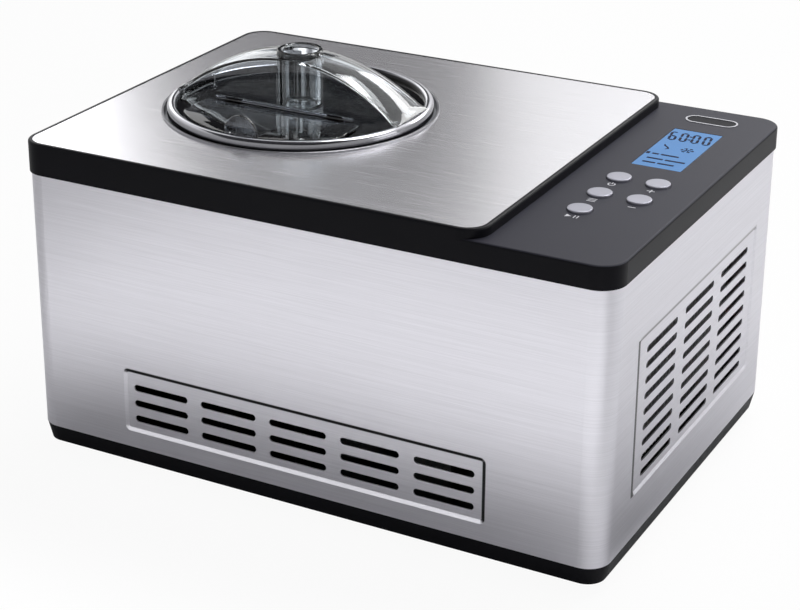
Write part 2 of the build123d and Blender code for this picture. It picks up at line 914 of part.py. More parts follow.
# Cooling well that the bowl stands in, hung from the frame by its flange
well_outer = well_radius + well_wall
well_corner = bowl_outer_corner + bowl_gap
bush_hole = bush_radius + press_gap
with BuildPart() as cooling_well:
    with BuildSketch(bowl_section) as well_profile:
        with BuildLine():
            Polyline(
                (bush_hole, well_base_z),
                (well_outer, well_base_z),
                (well_outer, flange_z - well_flange),
                (well_flange_radius, flange_z - well_flange),
                (well_flange_radius, flange_z),
                (well_radius, flange_z),
                (well_radius, well_floor_z),
                (bush_hole, well_floor_z),
                close=True,
            )
        make_face()
        fillet(
            well_profile.vertices().sort_by_distance((well_outer, well_base_z))[0],
            radius=well_corner + well_wall,
        )
        fillet(
            well_profile.vertices().sort_by_distance((well_radius, well_floor_z))[0],
            radius=well_corner,
        )
    revolve(axis=bowl_line)
    with BuildSketch(level(flange_z)):
        with Locations(*well_screw_points):
            Circle(well_screw_radius + screw_gap)
    extrude(amount=-well_flange, mode=Mode.SUBTRACT)
save(cooling_well, "cooling_well")

well_seats = [
    Plane(origin=(x, y, flange_z - well_flange), z_dir=(0, 0, -1)) for x, y in well_screw_points
]
well_screws = screws(
    well_seats,
    well_screw_head,
    well_screw_head_height,
    well_screw_radius,
    well_flange + well_screw_reach,
)
save(well_screws, "well_screws")

# Evaporator tube: turns round the well that reverse beside an open gap, then the suction line
turn_z = [well_floor_z + turn_start + turn * turn_pitch for turn in range(turn_count)]
gap_start = turn_gap_angle / 2
gap_end = 360 - turn_gap_angle / 2
stub_length = math.sqrt(foam_radius**2 - coil_radius**2) + stub_reach
inlet_ray = Vector(*polar((0, 0), 1, gap_start - 90), 0)
outlet_ray = Vector(*polar((0, 0), 1, gap_end + 90), 0)
inlet_turn = Vector(*polar(bowl_axis, coil_radius, gap_start), turn_z[0])
outlet_turn = Vector(*polar(bowl_axis, coil_radius, gap_end), turn_z[-1])
inlet_end = inlet_turn + inlet_ray * stub_length
outlet_end = outlet_turn + outlet_ray * stub_length
suction_foot = Vector(compressor_x + suction_dx, compressor_y + suction_dy, outlet_end.Z)
with BuildPart() as evaporator_tube:
    with BuildLine() as coil_route:
        Line(inlet_end, inlet_turn)
        for turn, z in enumerate(turn_z):
            forward = turn % 2 == 0
            CenterArc(
                (*bowl_axis, z),
                coil_radius,
                gap_start if forward else gap_end,
                gap_end - gap_start if forward else gap_start - gap_end,
            )
            if turn < turn_count - 1:
                bend_from = polar(bowl_axis, coil_radius, gap_end if forward else gap_start)
                ray = outlet_ray if forward else inlet_ray
                ThreePointArc(
                    (*bend_from, z),
                    Vector(*bend_from, z + turn_pitch / 2) + ray * (turn_pitch / 2),
                    (*bend_from, z + turn_pitch),
                )
        FilletPolyline(
            outlet_turn,
            outlet_end,
            suction_foot,
            (suction_foot.X, suction_foot.Y, stub_top),
            radius=suction_bend,
        )
    with BuildSketch(Plane(origin=inlet_end, z_dir=-inlet_ray)):
        Circle(tube_radius)
    sweep(path=coil_route.line)
save(evaporator_tube, "evaporator_tube")

# Foam jacket round the well and the tube
foam_top = flange_z - well_flange - well_screw_head_height - foam_gap
foam_bush_hole = bush_flange + foam_gap
with BuildPart() as foam_jacket:
    with BuildSketch(level(foam_z, bowl_axis)):
        Circle(foam_radius)
        Circle(foam_bush_hole, mode=Mode.SUBTRACT)
    extrude(amount=foam_top - foam_z)
    with BuildSketch(level(well_base_z - foam_gap, bowl_axis)):
        Circle(foam_bore)
    extrude(amount=foam_top - well_base_z + foam_gap, mode=Mode.SUBTRACT)
    with BuildSketch(Plane(origin=inlet_turn, z_dir=inlet_ray)):
        Circle(tube_radius + foam_gap)
    extrude(amount=stub_length, mode=Mode.SUBTRACT)
    with BuildSketch(Plane(origin=outlet_turn, z_dir=outlet_ray)):
        Circle(tube_radius + foam_gap)
    extrude(amount=stub_length, mode=Mode.SUBTRACT)
save(foam_jacket, "foam_jacket")

# Drive shaft with a six-sided end, its bush and its seal in the well's floor
shaft_foot = gearbox_z + gearbox_floor - blind_depth + run_gap
shaft_top = tube_top + hub_socket
shaft_bore = shaft_radius + run_gap
with BuildPart() as drive_shaft:
    with BuildSketch(level(shaft_foot, bowl_axis)):
        Circle(shaft_radius)
    extrude(amount=tube_top - shaft_foot)
    with BuildSketch(level(tube_top, bowl_axis)):
        RegularPolygon(radius=shaft_drive_flats / 2, side_count=6, major_radius=False)
    extrude(amount=hub_socket)
save(drive_shaft, "drive_shaft")

bush_top = well_floor_z + bush_proud
shaft_bush = stack(
    bowl_axis,
    [
        (well_base_z - bush_length, well_base_z - bush_flange_height, bush_radius, shaft_bore),
        (well_base_z - bush_flange_height, well_base_z, bush_flange, shaft_bore),
        (well_base_z, bush_top, bush_radius, shaft_bore),
    ],
)
save(shaft_bush, "shaft_bush")

shaft_seal = stack(bowl_axis, [(bush_top, bush_top + seal_ring_height, seal_ring_radius, shaft_bore)])
save(shaft_seal, "shaft_seal")

# Paddle: hub over the bowl's tube, one tall scraping loop and one short inner loop
paddle_z = bowl_floor_z + paddle_gap
hub_bore = bowl_tube_radius + hub_gap
hub_radius = hub_bore + hub_wall
hub_roof = tube_top + hub_gap
hub_top = shaft_top + hub_gap
paddle_reach = bowl_radius - paddle_gap
paddle_loops = (
    (1, paddle_reach, paddle_height),
    (-1, paddle_inner_reach, paddle_inner_height),
)
with BuildPart() as paddle:
    for side, reach, height in paddle_loops:
        with BuildSketch(bowl_section) as loop:
            with Locations((side * reach / 2, paddle_z + height / 2)):
                Rectangle(reach, height)
            fillet(
                loop.vertices().sort_by(Axis.X)[-2:] if side > 0 else loop.vertices().sort_by(Axis.X)[:2],
                radius=paddle_corner,
            )
            with Locations((side * (reach + hub_radius - paddle_bar) / 2, paddle_z + height / 2)):
                RectangleRounded(
                    reach - hub_radius - paddle_bar,
                    height - 2 * paddle_bar,
                    paddle_corner,
                    mode=Mode.SUBTRACT,
                )
        extrude(amount=paddle_thickness / 2, both=True)
    with BuildSketch(level(paddle_z, bowl_axis)):
        Circle(hub_radius)
    extrude(amount=hub_top - paddle_z)
    with BuildSketch(level(hub_top, bowl_axis)):
        Circle(pilot_radius)
    extrude(amount=pilot_depth)
    with BuildSketch(level(paddle_z, bowl_axis)):
        Circle(hub_bore)
    extrude(amount=hub_roof - paddle_z, mode=Mode.SUBTRACT)
    with BuildSketch(level(hub_roof, bowl_axis)):
        RegularPolygon(radius=shaft_drive_flats / 2 + shaft_drive_gap, side_count=6, major_radius=False)
    extrude(amount=shaft_top + shaft_drive_gap - hub_roof, mode=Mode.SUBTRACT)
save(paddle, "paddle")

# Lid rim: bright bead that stands on the seal and carries the clear disc on a ledge
rim_crest = lid_radius - lid_rim_width / 2
rim_shoulder = lid_top - lid_rim_width / 2
with BuildPart() as lid_rim:
    with BuildSketch(bowl_section):
        with BuildLine():
            Polyline(
                (rim_bore, rim_shoulder),
                (rim_bore, disc_z),
                (rim_bore - lid_ledge, disc_z),
                (rim_bore - lid_ledge, seal_top),
                (lid_radius, seal_top),
                (lid_radius, rim_shoulder),
            )
            ThreePointArc((lid_radius, rim_shoulder), (rim_crest, lid_top), (rim_bore, rim_shoulder))
        make_face()
    revolve(axis=bowl_line)
save(lid_rim, "lid_rim")

lid_seal = stack(bowl_axis, [(bowl_rim_z, seal_top, bowl_flange_radius, bowl_flange_radius - seal_width)])
save(lid_seal, "lid_seal")

# Clear lid disc with the filler opening, a centring skirt and two hinge lugs
hinge_z = disc_top + hinge_rise
lid_section = Plane(origin=(bowl_x, hinge_y, hinge_z), x_dir=(0, 1, 0), z_dir=(1, 0, 0))
post_base = hub_top + hub_gap
with BuildPart() as lid_disc:
    with BuildSketch(level(disc_z, bowl_axis)):
        Circle(rim_bore - screw_gap)
        Circle(post_radius + screw_gap, mode=Mode.SUBTRACT)
    extrude(amount=disc_thickness)
    with BuildSketch(level(disc_z, bowl_axis)):
        Circle(skirt_radius)
        Circle(skirt_radius - skirt_wall, mode=Mode.SUBTRACT)
    extrude(amount=-skirt_depth)
    with BuildSketch(level(disc_z, bowl_axis)) as filler:
        Circle(filler_radius)
        with Locations((0, -(filler_front + filler_back) / 2)):
            Rectangle(2 * filler_half_width, filler_front - filler_back, mode=Mode.INTERSECT)
        fillet(filler.vertices(), radius=filler_corner)
    extrude(amount=disc_thickness, mode=Mode.SUBTRACT)
    for side in (-1, 1):
        with BuildSketch(lid_section.offset(side * lug_x - lug_half_length)):
            Circle(knuckle_radius)
            with Locations((0, -hinge_rise / 2)):
                Rectangle(2 * knuckle_radius, hinge_rise)
            Circle(pin_radius + press_gap, mode=Mode.SUBTRACT)
        extrude(amount=2 * lug_half_length)
save(lid_disc, "lid_disc")

# Lid handle: hollow clear arch, waisted in plan, with an open centre post that steadies the paddle
arch_sag = arch_apex - lid_top - arch_end_rise
arch_radius = (arch_half_length**2 + arch_sag**2) / (2 * arch_sag)
arch_centre = arch_apex - arch_radius
with BuildPart() as lid_handle:
    for wall, crown, mode in ((0, 0, Mode.ADD), (arch_wall, arch_top, Mode.SUBTRACT)):
        with BuildPart(mode=mode):
            with BuildSketch(level(disc_top, bowl_axis)):
                with BuildLine():
                    front = ThreePointArc(
                        (-arch_half_length, wall - arch_end_half_width),
                        (0, wall - arch_mid_half_width),
                        (arch_half_length, wall - arch_end_half_width),
                    )
                    back = ThreePointArc(
                        (-arch_half_length, arch_end_half_width - wall),
                        (0, arch_mid_half_width - wall),
                        (arch_half_length, arch_end_half_width - wall),
                    )
                    Line(front @ 0, back @ 0)
                    Line(front @ 1, back @ 1)
                make_face()
            extrude(amount=arch_height)
            with BuildSketch(bowl_section.offset(-arch_end_half_width)):
                with Locations((0, arch_centre)):
                    Circle(arch_radius - crown)
                with Locations((0, disc_top + arch_height / 2)):
                    Rectangle(2 * arch_half_length, arch_height, mode=Mode.INTERSECT)
            extrude(amount=2 * arch_end_half_width, mode=Mode.INTERSECT)
    with BuildSketch(level(disc_top, bowl_axis)):
        Circle(lid_radius + arch_end_half_width)
        Circle(rim_bore - screw_gap, mode=Mode.SUBTRACT)
    extrude(amount=lid_top - disc_top + press_gap, mode=Mode.SUBTRACT)
    with BuildSketch(level(post_base, bowl_axis)):
        Circle(post_radius)
    extrude(amount=arch_apex + post_proud - post_base)
    with BuildSketch(level(arch_apex + post_proud, bowl_axis)):
        Circle(post_cup_radius)
    extrude(amount=-post_cup_depth, mode=Mode.SUBTRACT)
    with BuildSketch(level(post_base, bowl_axis)):
        Circle(pilot_radius + pilot_gap)
    extrude(amount=pilot_depth, mode=Mode.SUBTRACT)
save(lid_handle, "lid_handle")

# Filler flap: clear plate hinged along its back edge, with a half-round finger tab
flap_z = disc_top + flap_gap
flap_top = flap_z + flap_thickness
barrel_length = 2 * (lug_x - lug_half_length - knuckle_gap)
web_reach = flap_back + hinge_y + knuckle_radius
with BuildPart() as filler_flap:
    with BuildSketch(level(flap_z, bowl_axis)) as flap_plan:
        Circle(flap_radius)
        with Locations((0, -(flap_radius + flap_back) / 2)):
            Rectangle(2 * flap_half_width, flap_radius - flap_back, mode=Mode.INTERSECT)
        fillet(flap_plan.vertices(), radius=flap_corner)
    extrude(amount=flap_thickness)
    with BuildSketch(lid_section.offset(-barrel_length / 2)):
        Circle(knuckle_radius)
        with Locations((-web_reach / 2, (flap_z + flap_top) / 2 - hinge_z)):
            Rectangle(web_reach, flap_thickness)
        Circle(pin_radius + run_gap, mode=Mode.SUBTRACT)
    extrude(amount=barrel_length)
    with BuildSketch(Plane(origin=(bowl_x, tab_y, flap_top), x_dir=(1, 0, 0), z_dir=(0, -1, 0))):
        Circle(tab_radius)
        with Locations((0, -tab_radius / 2)):
            Rectangle(2 * tab_radius, tab_radius, mode=Mode.SUBTRACT)
    extrude(amount=tab_thickness / 2, both=True)
save(filler_flap, "filler_flap")

with BuildPart() as flap_pin:
    with BuildSketch(lid_section.offset(-lug_x - lug_half_length)):
        Circle(pin_radius)
    extrude(amount=2 * (lug_x + lug_half_length))
save(flap_pin, "flap_pin")

# Gears: the drive gear on the shaft, a stepped idler and the motor's pinion
drive_phase = idler_direction
idler_pinion_phase = idler_direction + 180 + 180 / idler_pinion_teeth
motor_pinion_phase = motor_direction + 180 + 180 / motor_pinion_teeth
cover_z = gearbox_top - gearbox_cover
with BuildPart() as drive_gear:
    extrude(gear(level(drive_z, bowl_axis), drive_module, drive_teeth, drive_phase), amount=drive_face)
    with BuildSketch(level(drive_z, bowl_axis)):
        Circle(shaft_radius + press_gap)
    extrude(amount=drive_face, mode=Mode.SUBTRACT)
save(drive_gear, "drive_gear")

with BuildPart() as idler_gear:
    extrude(gear(level(idler_z, idler_axis), idler_module, idler_teeth, motor_direction), amount=idler_face)
    extrude(
        gear(
            level(idler_z + idler_face, idler_axis), drive_module, idler_pinion_teeth, idler_pinion_phase
        ),
        amount=gear_gap + drive_face,
    )
    with BuildSketch(level(idler_z, idler_axis)):
        Circle(idler_pin_radius + run_gap)
    extrude(amount=idler_face + gear_gap + drive_face, mode=Mode.SUBTRACT)
save(idler_gear, "idler_gear")

idler_pin_foot = gearbox_z + gearbox_floor - blind_depth
idler_pin = stack(idler_axis, [(idler_pin_foot, cover_z + gearbox_cover / 2, idler_pin_radius, 0)])
save(idler_pin, "idler_pin")

with BuildPart() as motor_pinion:
    extrude(
        gear(level(idler_z, motor_axis), idler_module, motor_pinion_teeth, motor_pinion_phase),
        amount=idler_face,
    )
    with BuildSketch(level(idler_z, motor_axis)):
        Circle(motor_shaft_radius + press_gap)
    extrude(amount=idler_face, mode=Mode.SUBTRACT)
save(motor_pinion, "motor_pinion")

# Gearbox: lower housing with the motor's flange, and a flat cover
motor_top = gearbox_z
motor_screw_points = [polar(motor_axis, motor_screw_circle, angle) for angle in motor_screw_angles]


def gearbox_outline(plane, extra):
    """Taut outline round the three gears, widened by a margin."""
    with BuildSketch(plane) as outline:
        for centre, radius in gearbox_hull:
            with Locations(centre):
                Circle(radius + extra)
        make_hull()
    return outline.sketch


with BuildPart() as gearbox_housing:
    extrude(gearbox_outline(level(gearbox_z), gearbox_wall), amount=cover_z - gearbox_z)
    with BuildSketch(level(gearbox_z)):
        with Locations(*gearbox_lugs):
            Circle(lug_radius)
    extrude(amount=cover_z - gearbox_z)
    with BuildSketch(level(gearbox_z, motor_axis)):
        Circle(motor_radius)
    extrude(amount=gearbox_floor)
    extrude(
        gearbox_outline(level(gearbox_z + gearbox_floor), 0),
        amount=cover_z - gearbox_z - gearbox_floor,
        mode=Mode.SUBTRACT,
    )
    with BuildSketch(level(gearbox_z)):
        with Locations(*gearbox_lugs):
            Circle(gearbox_screw_radius + screw_gap)
    extrude(amount=cover_z - gearbox_z, mode=Mode.SUBTRACT)
    with BuildSketch(level(gearbox_z + gearbox_floor)):
        with Locations(bowl_axis):
            Circle(shaft_bore)
        with Locations(idler_axis):
            Circle(idler_pin_radius + press_gap)
    extrude(amount=-blind_depth, mode=Mode.SUBTRACT)
    with BuildSketch(level(gearbox_z)):
        with Locations(motor_axis):
            Circle(motor_shaft_radius + run_gap)
        with Locations(*motor_screw_points):
            Circle(motor_screw_radius + screw_gap)
    extrude(amount=gearbox_floor, mode=Mode.SUBTRACT)
save(gearbox_housing, "gearbox_housing")

with BuildPart() as gearbox_lid:
    extrude(gearbox_outline(level(cover_z), gearbox_wall), amount=gearbox_cover)
    with BuildSketch(level(cover_z)):
        with Locations(*gearbox_lugs):
            Circle(lug_radius)
    extrude(amount=gearbox_cover)
    with BuildSketch(level(cover_z)):
        with Locations(*gearbox_lugs):
            Circle(gearbox_screw_radius + screw_gap)
        with Locations(bowl_axis):
            Circle(shaft_bore)
    extrude(amount=gearbox_cover, mode=Mode.SUBTRACT)
    with BuildSketch(level(cover_z, idler_axis)):
        Circle(idler_pin_radius + press_gap)
    extrude(amount=gearbox_cover / 2 + press_gap, mode=Mode.SUBTRACT)
save(gearbox_lid, "gearbox_cover")

gearbox_seats = [level(gearbox_top, point) for point in gearbox_lugs]
gearbox_screws = screws(
    gearbox_seats,
    gearbox_screw_head,
    gearbox_screw_head_height,
    gearbox_screw_radius,
    gearbox_top - gearbox_z + gearbox_screw_bite,
)
save(gearbox_screws, "gearbox_screws")

# Mixing motor hung under the gearbox, whose floor closes its can
motor_bore = motor_radius - motor_wall
stator_z = motor_top - motor_end_gap - stator_height
rotor_z = stator_z + (stator_height - rotor_height) / 2
motor_can = stack(
    motor_axis,
    [
        (motor_z, motor_z + motor_wall, motor_radius, 0),
        (motor_z + motor_wall, motor_top, motor_radius, motor_bore),
        (motor_z + motor_wall, motor_z + motor_boss, 2 * motor_shaft_radius, motor_shaft_radius + run_gap),
    ],
)
save(motor_can, "motor_can")

with BuildPart() as motor_stator:
    with BuildSketch(level(stator_z)):
        with Locations(motor_axis):
            Circle(motor_bore - press_gap)
            Circle(stator_bore, mode=Mode.SUBTRACT)
        with Locations(*motor_screw_points):
            Circle(motor_screw_radius + screw_gap, mode=Mode.SUBTRACT)
    extrude(amount=stator_height)
save(motor_stator, "motor_stator")

motor_seats = [level(gearbox_z + gearbox_floor, point) for point in motor_screw_points]
motor_screws = screws(
    motor_seats,
    motor_screw_head,
    motor_screw_head_height,
    motor_screw_radius,
    gearbox_floor + motor_end_gap + stator_height / 2,
)
save(motor_screws, "motor_screws")

motor_rotor = stack(
    motor_axis,
    [
        (motor_z + motor_wall + run_gap, idler_z + idler_face, motor_shaft_radius, 0),
        (rotor_z, rotor_z + rotor_height, stator_bore - rotor_air_gap, 0),
    ],
)
save(motor_rotor, "motor_rotor")

# Compressor: sealed two-part shell with its pump, on a foot plate held by rubber grommets
seam_z = compressor_z + compressor_seam
discharge_foot = (compressor_x + discharge_dx, compressor_y + discharge_dy)
with BuildPart() as compressor_lower_shell:
    with BuildSketch(level(compressor_z, compressor_axis)):
        Circle(compressor_radius)
    extrude(amount=compressor_seam)
    fillet(compressor_lower_shell.edges().group_by(Axis.Z)[0], radius=compressor_round)
    offset(
        amount=-compressor_wall,
        openings=compressor_lower_shell.faces().sort_by(Axis.Z)[-1],
    )
save(compressor_lower_shell, "compressor_lower_shell")

with BuildPart() as compressor_upper_shell:
    with BuildSketch(level(seam_z - compressor_lap, compressor_axis)):
        Circle(cap_radius)
    extrude(amount=compressor_top - seam_z + compressor_lap)
    fillet(compressor_upper_shell.edges().group_by(Axis.Z)[-1], radius=compressor_round)
    offset(
        amount=-compressor_wall,
        openings=compressor_upper_shell.faces().sort_by(Axis.Z)[0],
    )
    for spot, radius in (((suction_foot.X, suction_foot.Y), tube_radius), (discharge_foot, condenser_tube)):
        with BuildSketch(level(compressor_top - compressor_wall, spot)):
            Circle(radius)
        extrude(amount=stub_rise + compressor_wall)
save(compressor_upper_shell, "compressor_upper_shell")

pump_z = compressor_z + pump_lift
compressor_pump = stack(compressor_axis, [(pump_z, pump_z + pump_height, pump_radius, 0)])
save(compressor_pump, "compressor_pump")

with BuildPart() as compressor_foot_plate:
    with BuildSketch(level(foot_plate_z)):
        with Locations(compressor_axis):
            RectangleRounded(foot_plate_x, foot_plate_y, foot_plate_corner)
        with Locations(*grommet_points):
            Circle(grommet_waist + screw_gap, mode=Mode.SUBTRACT)
    extrude(amount=foot_plate)
save(compressor_foot_plate, "compressor_foot_plate")

grommet_top = boss_z + grommet_height
with BuildPart() as compressor_grommets:
    for bottom, top, radius in (
        (boss_z, foot_plate_z, grommet_radius),
        (foot_plate_z, compressor_z, grommet_waist),
        (compressor_z, grommet_top, grommet_radius),
    ):
        with BuildSketch(level(bottom)):
            with Locations(*grommet_points):
                Circle(radius)
                Circle(grommet_bore, mode=Mode.SUBTRACT)
        extrude(amount=top - bottom)
save(compressor_grommets, "compressor_grommets")

bolt_seats = [level(grommet_top, point) for point in grommet_points]
compressor_bolts = screws(
    bolt_seats, bolt_head, bolt_head_height, bolt_radius, grommet_height + tray_boss_height - run_gap
)
save(compressor_bolts, "compressor_bolts")

terminal_y = compressor_y - cap_radius - fit_gap - terminal_depth / 2
with BuildPart() as terminal_cover:
    with BuildSketch(level(compressor_z + terminal_lift, (compressor_x, terminal_y))):
        RectangleRounded(terminal_width, terminal_depth, terminal_round)
    extrude(amount=terminal_height)
save(terminal_cover, "terminal_cover")

# Condenser: upright fins in a bent bracket that also shrouds the fan, behind the side vents
condenser_length = inner_depth - 2 * condenser_room
pass_z = [condenser_z + pass_pitch * (index - (pass_count - 1) / 2) for index in range(pass_count)]
fin_count = math.floor(condenser_length / fin_pitch) + 1
bracket_y = condenser_length / 2 + condenser_end / 2
tube_end = condenser_length / 2 + condenser_end + pass_pitch / 2
fin_centre = (condenser_x, condenser_z)
across = Plane(origin=(0, 0, 0), x_dir=(1, 0, 0), z_dir=(0, -1, 0))
with BuildPart() as condenser_fins:
    for index in range(fin_count):
        fin_y = (index - (fin_count - 1) / 2) * fin_pitch
        with BuildSketch(across.offset(-fin_y - fin_thickness / 2)):
            with Locations(fin_centre):
                Rectangle(condenser_depth, condenser_height)
            for z in pass_z:
                with Locations((condenser_x, z)):
                    Circle(condenser_tube + press_gap, mode=Mode.SUBTRACT)
        extrude(amount=fin_thickness)
save(condenser_fins, "condenser_fins")

bracket_top = condenser_z + condenser_height / 2
along = Plane(origin=(0, 0, 0), x_dir=(0, 1, 0), z_dir=(1, 0, 0))
fan_centre = (0, condenser_z)
with BuildPart() as condenser_bracket:
    with BuildSketch(along.offset(shroud_x)):
        with Locations(fan_centre):
            Rectangle(2 * bracket_y + bracket_thickness, condenser_height)
            Circle(fan_bore, mode=Mode.SUBTRACT)
    extrude(amount=shroud_thickness)
    for side in (-1, 1):
        with BuildSketch(across.offset(-side * bracket_y - bracket_thickness / 2)):
            with Locations((condenser_x, (floor_z + bracket_top) / 2)):
                Rectangle(condenser_depth, bracket_top - floor_z)
            for z in pass_z:
                with Locations((condenser_x, z)):
                    Circle(condenser_tube + fit_gap, mode=Mode.SUBTRACT)
        extrude(amount=bracket_thickness)
        with BuildSketch(level(floor_z, (condenser_x, side * (bracket_y + bracket_foot / 2)))):
            Rectangle(condenser_depth, bracket_foot)
        extrude(amount=bracket_thickness)
save(condenser_bracket, "condenser_bracket")

# Fan: square frame with a spindle bush, and a bladed rotor
with BuildPart() as fan_frame:
    with BuildSketch(along.offset(fan_x)):
        with Locations(fan_centre):
            RectangleRounded(fan_size, fan_size, fan_corner)
            Circle(fan_bore, mode=Mode.SUBTRACT)
    extrude(amount=fan_depth)
    with BuildSketch(along.offset(fan_x)):
        with Locations(fan_centre):
            Rectangle(2 * fan_bore, fan_strut)
            Rectangle(fan_strut, 2 * fan_bore)
            Circle(fan_hub)
            Circle(fan_spindle + run_gap, mode=Mode.SUBTRACT)
    extrude(amount=fan_back)
save(fan_frame, "fan_frame")

fan_face = fan_x + fan_back + fan_hub_gap
blade_root = fan_hub - 2 * fan_blade_thickness
blade_tip = fan_bore - fan_tip_gap
with BuildPart() as fan_rotor:
    with BuildSketch(along.offset(fan_face)):
        with Locations(fan_centre):
            Circle(fan_hub)
    extrude(amount=fan_hub_height)
    with BuildSketch(along.offset(fan_face)):
        with Locations(fan_centre):
            Circle(fan_spindle)
    extrude(amount=-fan_hub_gap - fan_back)
    for index in range(fan_blade_count):
        ray_y, ray_z = polar((0, 0), 1, 360 * index / fan_blade_count)
        foot = Vector(fan_face + fan_hub_height / 2, ray_y * blade_root, condenser_z + ray_z * blade_root)
        with BuildSketch(Plane(origin=foot, x_dir=(1, 0, 0), z_dir=(0, ray_y, ray_z))):
            Rectangle(fan_blade_chord, fan_blade_thickness, rotation=fan_blade_angle)
        extrude(amount=blade_tip - blade_root)
save(fan_rotor, "fan_rotor")

# Condenser tube: from the compressor, to and fro through the fins and on to the filter drier
back_y = inner_depth / 2 - rear_pipe_room
drier_x = condenser_x - drier_from_condenser
drier_axis = (drier_x, back_y)
drier_z = pass_z[0] + drier_lift
drier_top = drier_z + drier_length
discharge_z = stub_top + discharge_over
condenser_route = [
    (*discharge_foot, stub_top),
    (*discharge_foot, discharge_z),
    (discharge_foot[0], back_y, discharge_z),
    (condenser_x, back_y, discharge_z),
    (condenser_x, back_y, pass_z[-1]),
]
for index, z in enumerate(reversed(pass_z)):
    near = -tube_end if index % 2 == 0 else tube_end
    if index > 0:
        condenser_route.append((condenser_x, -near, z))
    if index < pass_count - 1:
        condenser_route.append((condenser_x, near, z))
condenser_route += [
    (condenser_x, back_y, pass_z[0]),
    (drier_x, back_y, pass_z[0]),
    (drier_x, back_y, drier_z),
]
condenser_pipe = pipe(condenser_route, condenser_tube, pipe_bend)
save(condenser_pipe, "condenser_tube")

filter_drier = stack(
    drier_axis,
    [
        (drier_z, drier_z + drier_neck, condenser_tube + drier_neck / 2, 0),
        (drier_z + drier_neck, drier_top - drier_neck, drier_radius, 0),
        (drier_top - drier_neck, drier_top, condenser_tube + drier_neck / 2, 0),
    ],
)
save(filter_drier, "filter_drier")

capillary_z = drier_top + capillary_over
capillary_foot = inlet_end + inlet_ray * inlet_run
capillary_tube = pipe(
    [
        (*drier_axis, drier_top),
        (*drier_axis, capillary_z),
        (capillary_foot.X, back_y, capillary_z),
        (capillary_foot.X, capillary_foot.Y, capillary_z),
        (capillary_foot.X, capillary_foot.Y, capillary_foot.Z),
        inlet_end,
    ],
    capillary_radius,
    pipe_bend,
)
save(capillary_tube, "capillary_tube")

# Controls under the deck: board with key switches, display, window, buttons and badge
with BuildPart() as control_board:
    with BuildSketch(level(board_z)):
        with Locations((deck_x, board_y)):
            Rectangle(board_width, board_length)
        with Locations(*board_points):
            Circle(board_screw_radius + screw_gap, mode=Mode.SUBTRACT)
    extrude(amount=board_thickness)
    with BuildSketch(level(board_top)):
        with Locations(*button_points):
            Rectangle(switch_size, switch_size)
    extrude(amount=switch_height - switch_plunger)
    with BuildSketch(level(board_top)):
        with Locations(*button_points):
            Circle(switch_size / 3)
    extrude(amount=switch_height)
save(control_board, "control_board")

window_z = deck_under - window_lip_height
with BuildPart() as display_module:
    with BuildSketch(level(board_top)):
        with Locations((deck_x, window_y)):
            Rectangle(window_width + 2 * display_margin, window_length + 2 * display_margin)
    extrude(amount=window_z - screw_gap - board_top)
save(display_module, "display_module")

with BuildPart() as display_window:
    with BuildSketch(level(window_z)):
        with Locations((deck_x, window_y)):
            RectangleRounded(
                window_width + 2 * window_lip, window_length + 2 * window_lip, window_corner + window_lip
            )
    extrude(amount=window_lip_height)
    with BuildSketch(level(deck_under)):
        with Locations((deck_x, window_y)):
            RectangleRounded(window_width, window_length, window_corner)
    extrude(amount=frame_top - window_sink)
save(display_window, "display_window")

flange_top = deck_under - run_gap
stem_foot = board_top + switch_height + button_travel + screw_gap
button_names = ("power_button", "menu_button", "start_button", "time_up_button", "time_down_button")
for button_name, button_spot in zip(button_names, button_points):
    with BuildPart() as button:
        with BuildSketch(level(flange_top, button_spot)):
            Circle(button_radius)
        extrude(amount=deck_z + button_proud - flange_top)
        fillet(button.edges().group_by(Axis.Z)[-1], radius=button_round)
        with BuildSketch(level(flange_top, button_spot)):
            Circle(button_flange)
        extrude(amount=-button_flange_height)
        with BuildSketch(level(flange_top, button_spot)):
            Circle(button_stem)
        extrude(amount=stem_foot - flange_top)
    save(button, button_name)

badge_z = deck_z - badge_depth
with BuildPart() as badge_plate:
    with BuildSketch(level(badge_z)):
        with Locations((deck_x, badge_y)):
            SlotOverall(badge_length, badge_width)
    extrude(amount=badge_depth + badge_rim_proud)
    with BuildSketch(level(deck_z)):
        with Locations((deck_x, badge_y)):
            SlotOverall(badge_length - 2 * badge_rim, badge_width - 2 * badge_rim)
    extrude(amount=badge_rim_proud, mode=Mode.SUBTRACT)
save(badge_plate, "badge_plate")

# Power board on posts in the tray, with its transformer, relay and terminal block
power_top = power_z + board_thickness
power_parts = (
    (transformer_x, transformer_size),
    (relay_x, relay_size),
    (terminal_block_x, terminal_block_size),
)
with BuildPart() as power_board:
    with BuildSketch(level(power_z)):
        with Locations((power_x, power_y)):
            Rectangle(power_width, power_length)
        with Locations(*power_points):
            Circle(board_screw_radius + screw_gap, mode=Mode.SUBTRACT)
    extrude(amount=board_thickness)
    for part_x, (size_x, size_y, size_z) in power_parts:
        with BuildSketch(level(power_top, (power_x + part_x, power_y))):
            Rectangle(size_x, size_y)
        extrude(amount=size_z)
save(power_board, "power_board")

board_seats = [Plane(origin=(x, y, board_z), z_dir=(0, 0, -1)) for x, y in board_points]
power_seats = [level(power_top, point) for point in power_points]
board_screws = screws(
    board_seats + power_seats,
    board_screw_head,
    board_screw_head_height,
    board_screw_radius,
    board_thickness + board_screw_reach - screw_gap,
)
save(board_screws, "board_screws")
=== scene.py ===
"""Looks of an ice cream maker: finishes, fine pieces and studio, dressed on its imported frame."""

import math

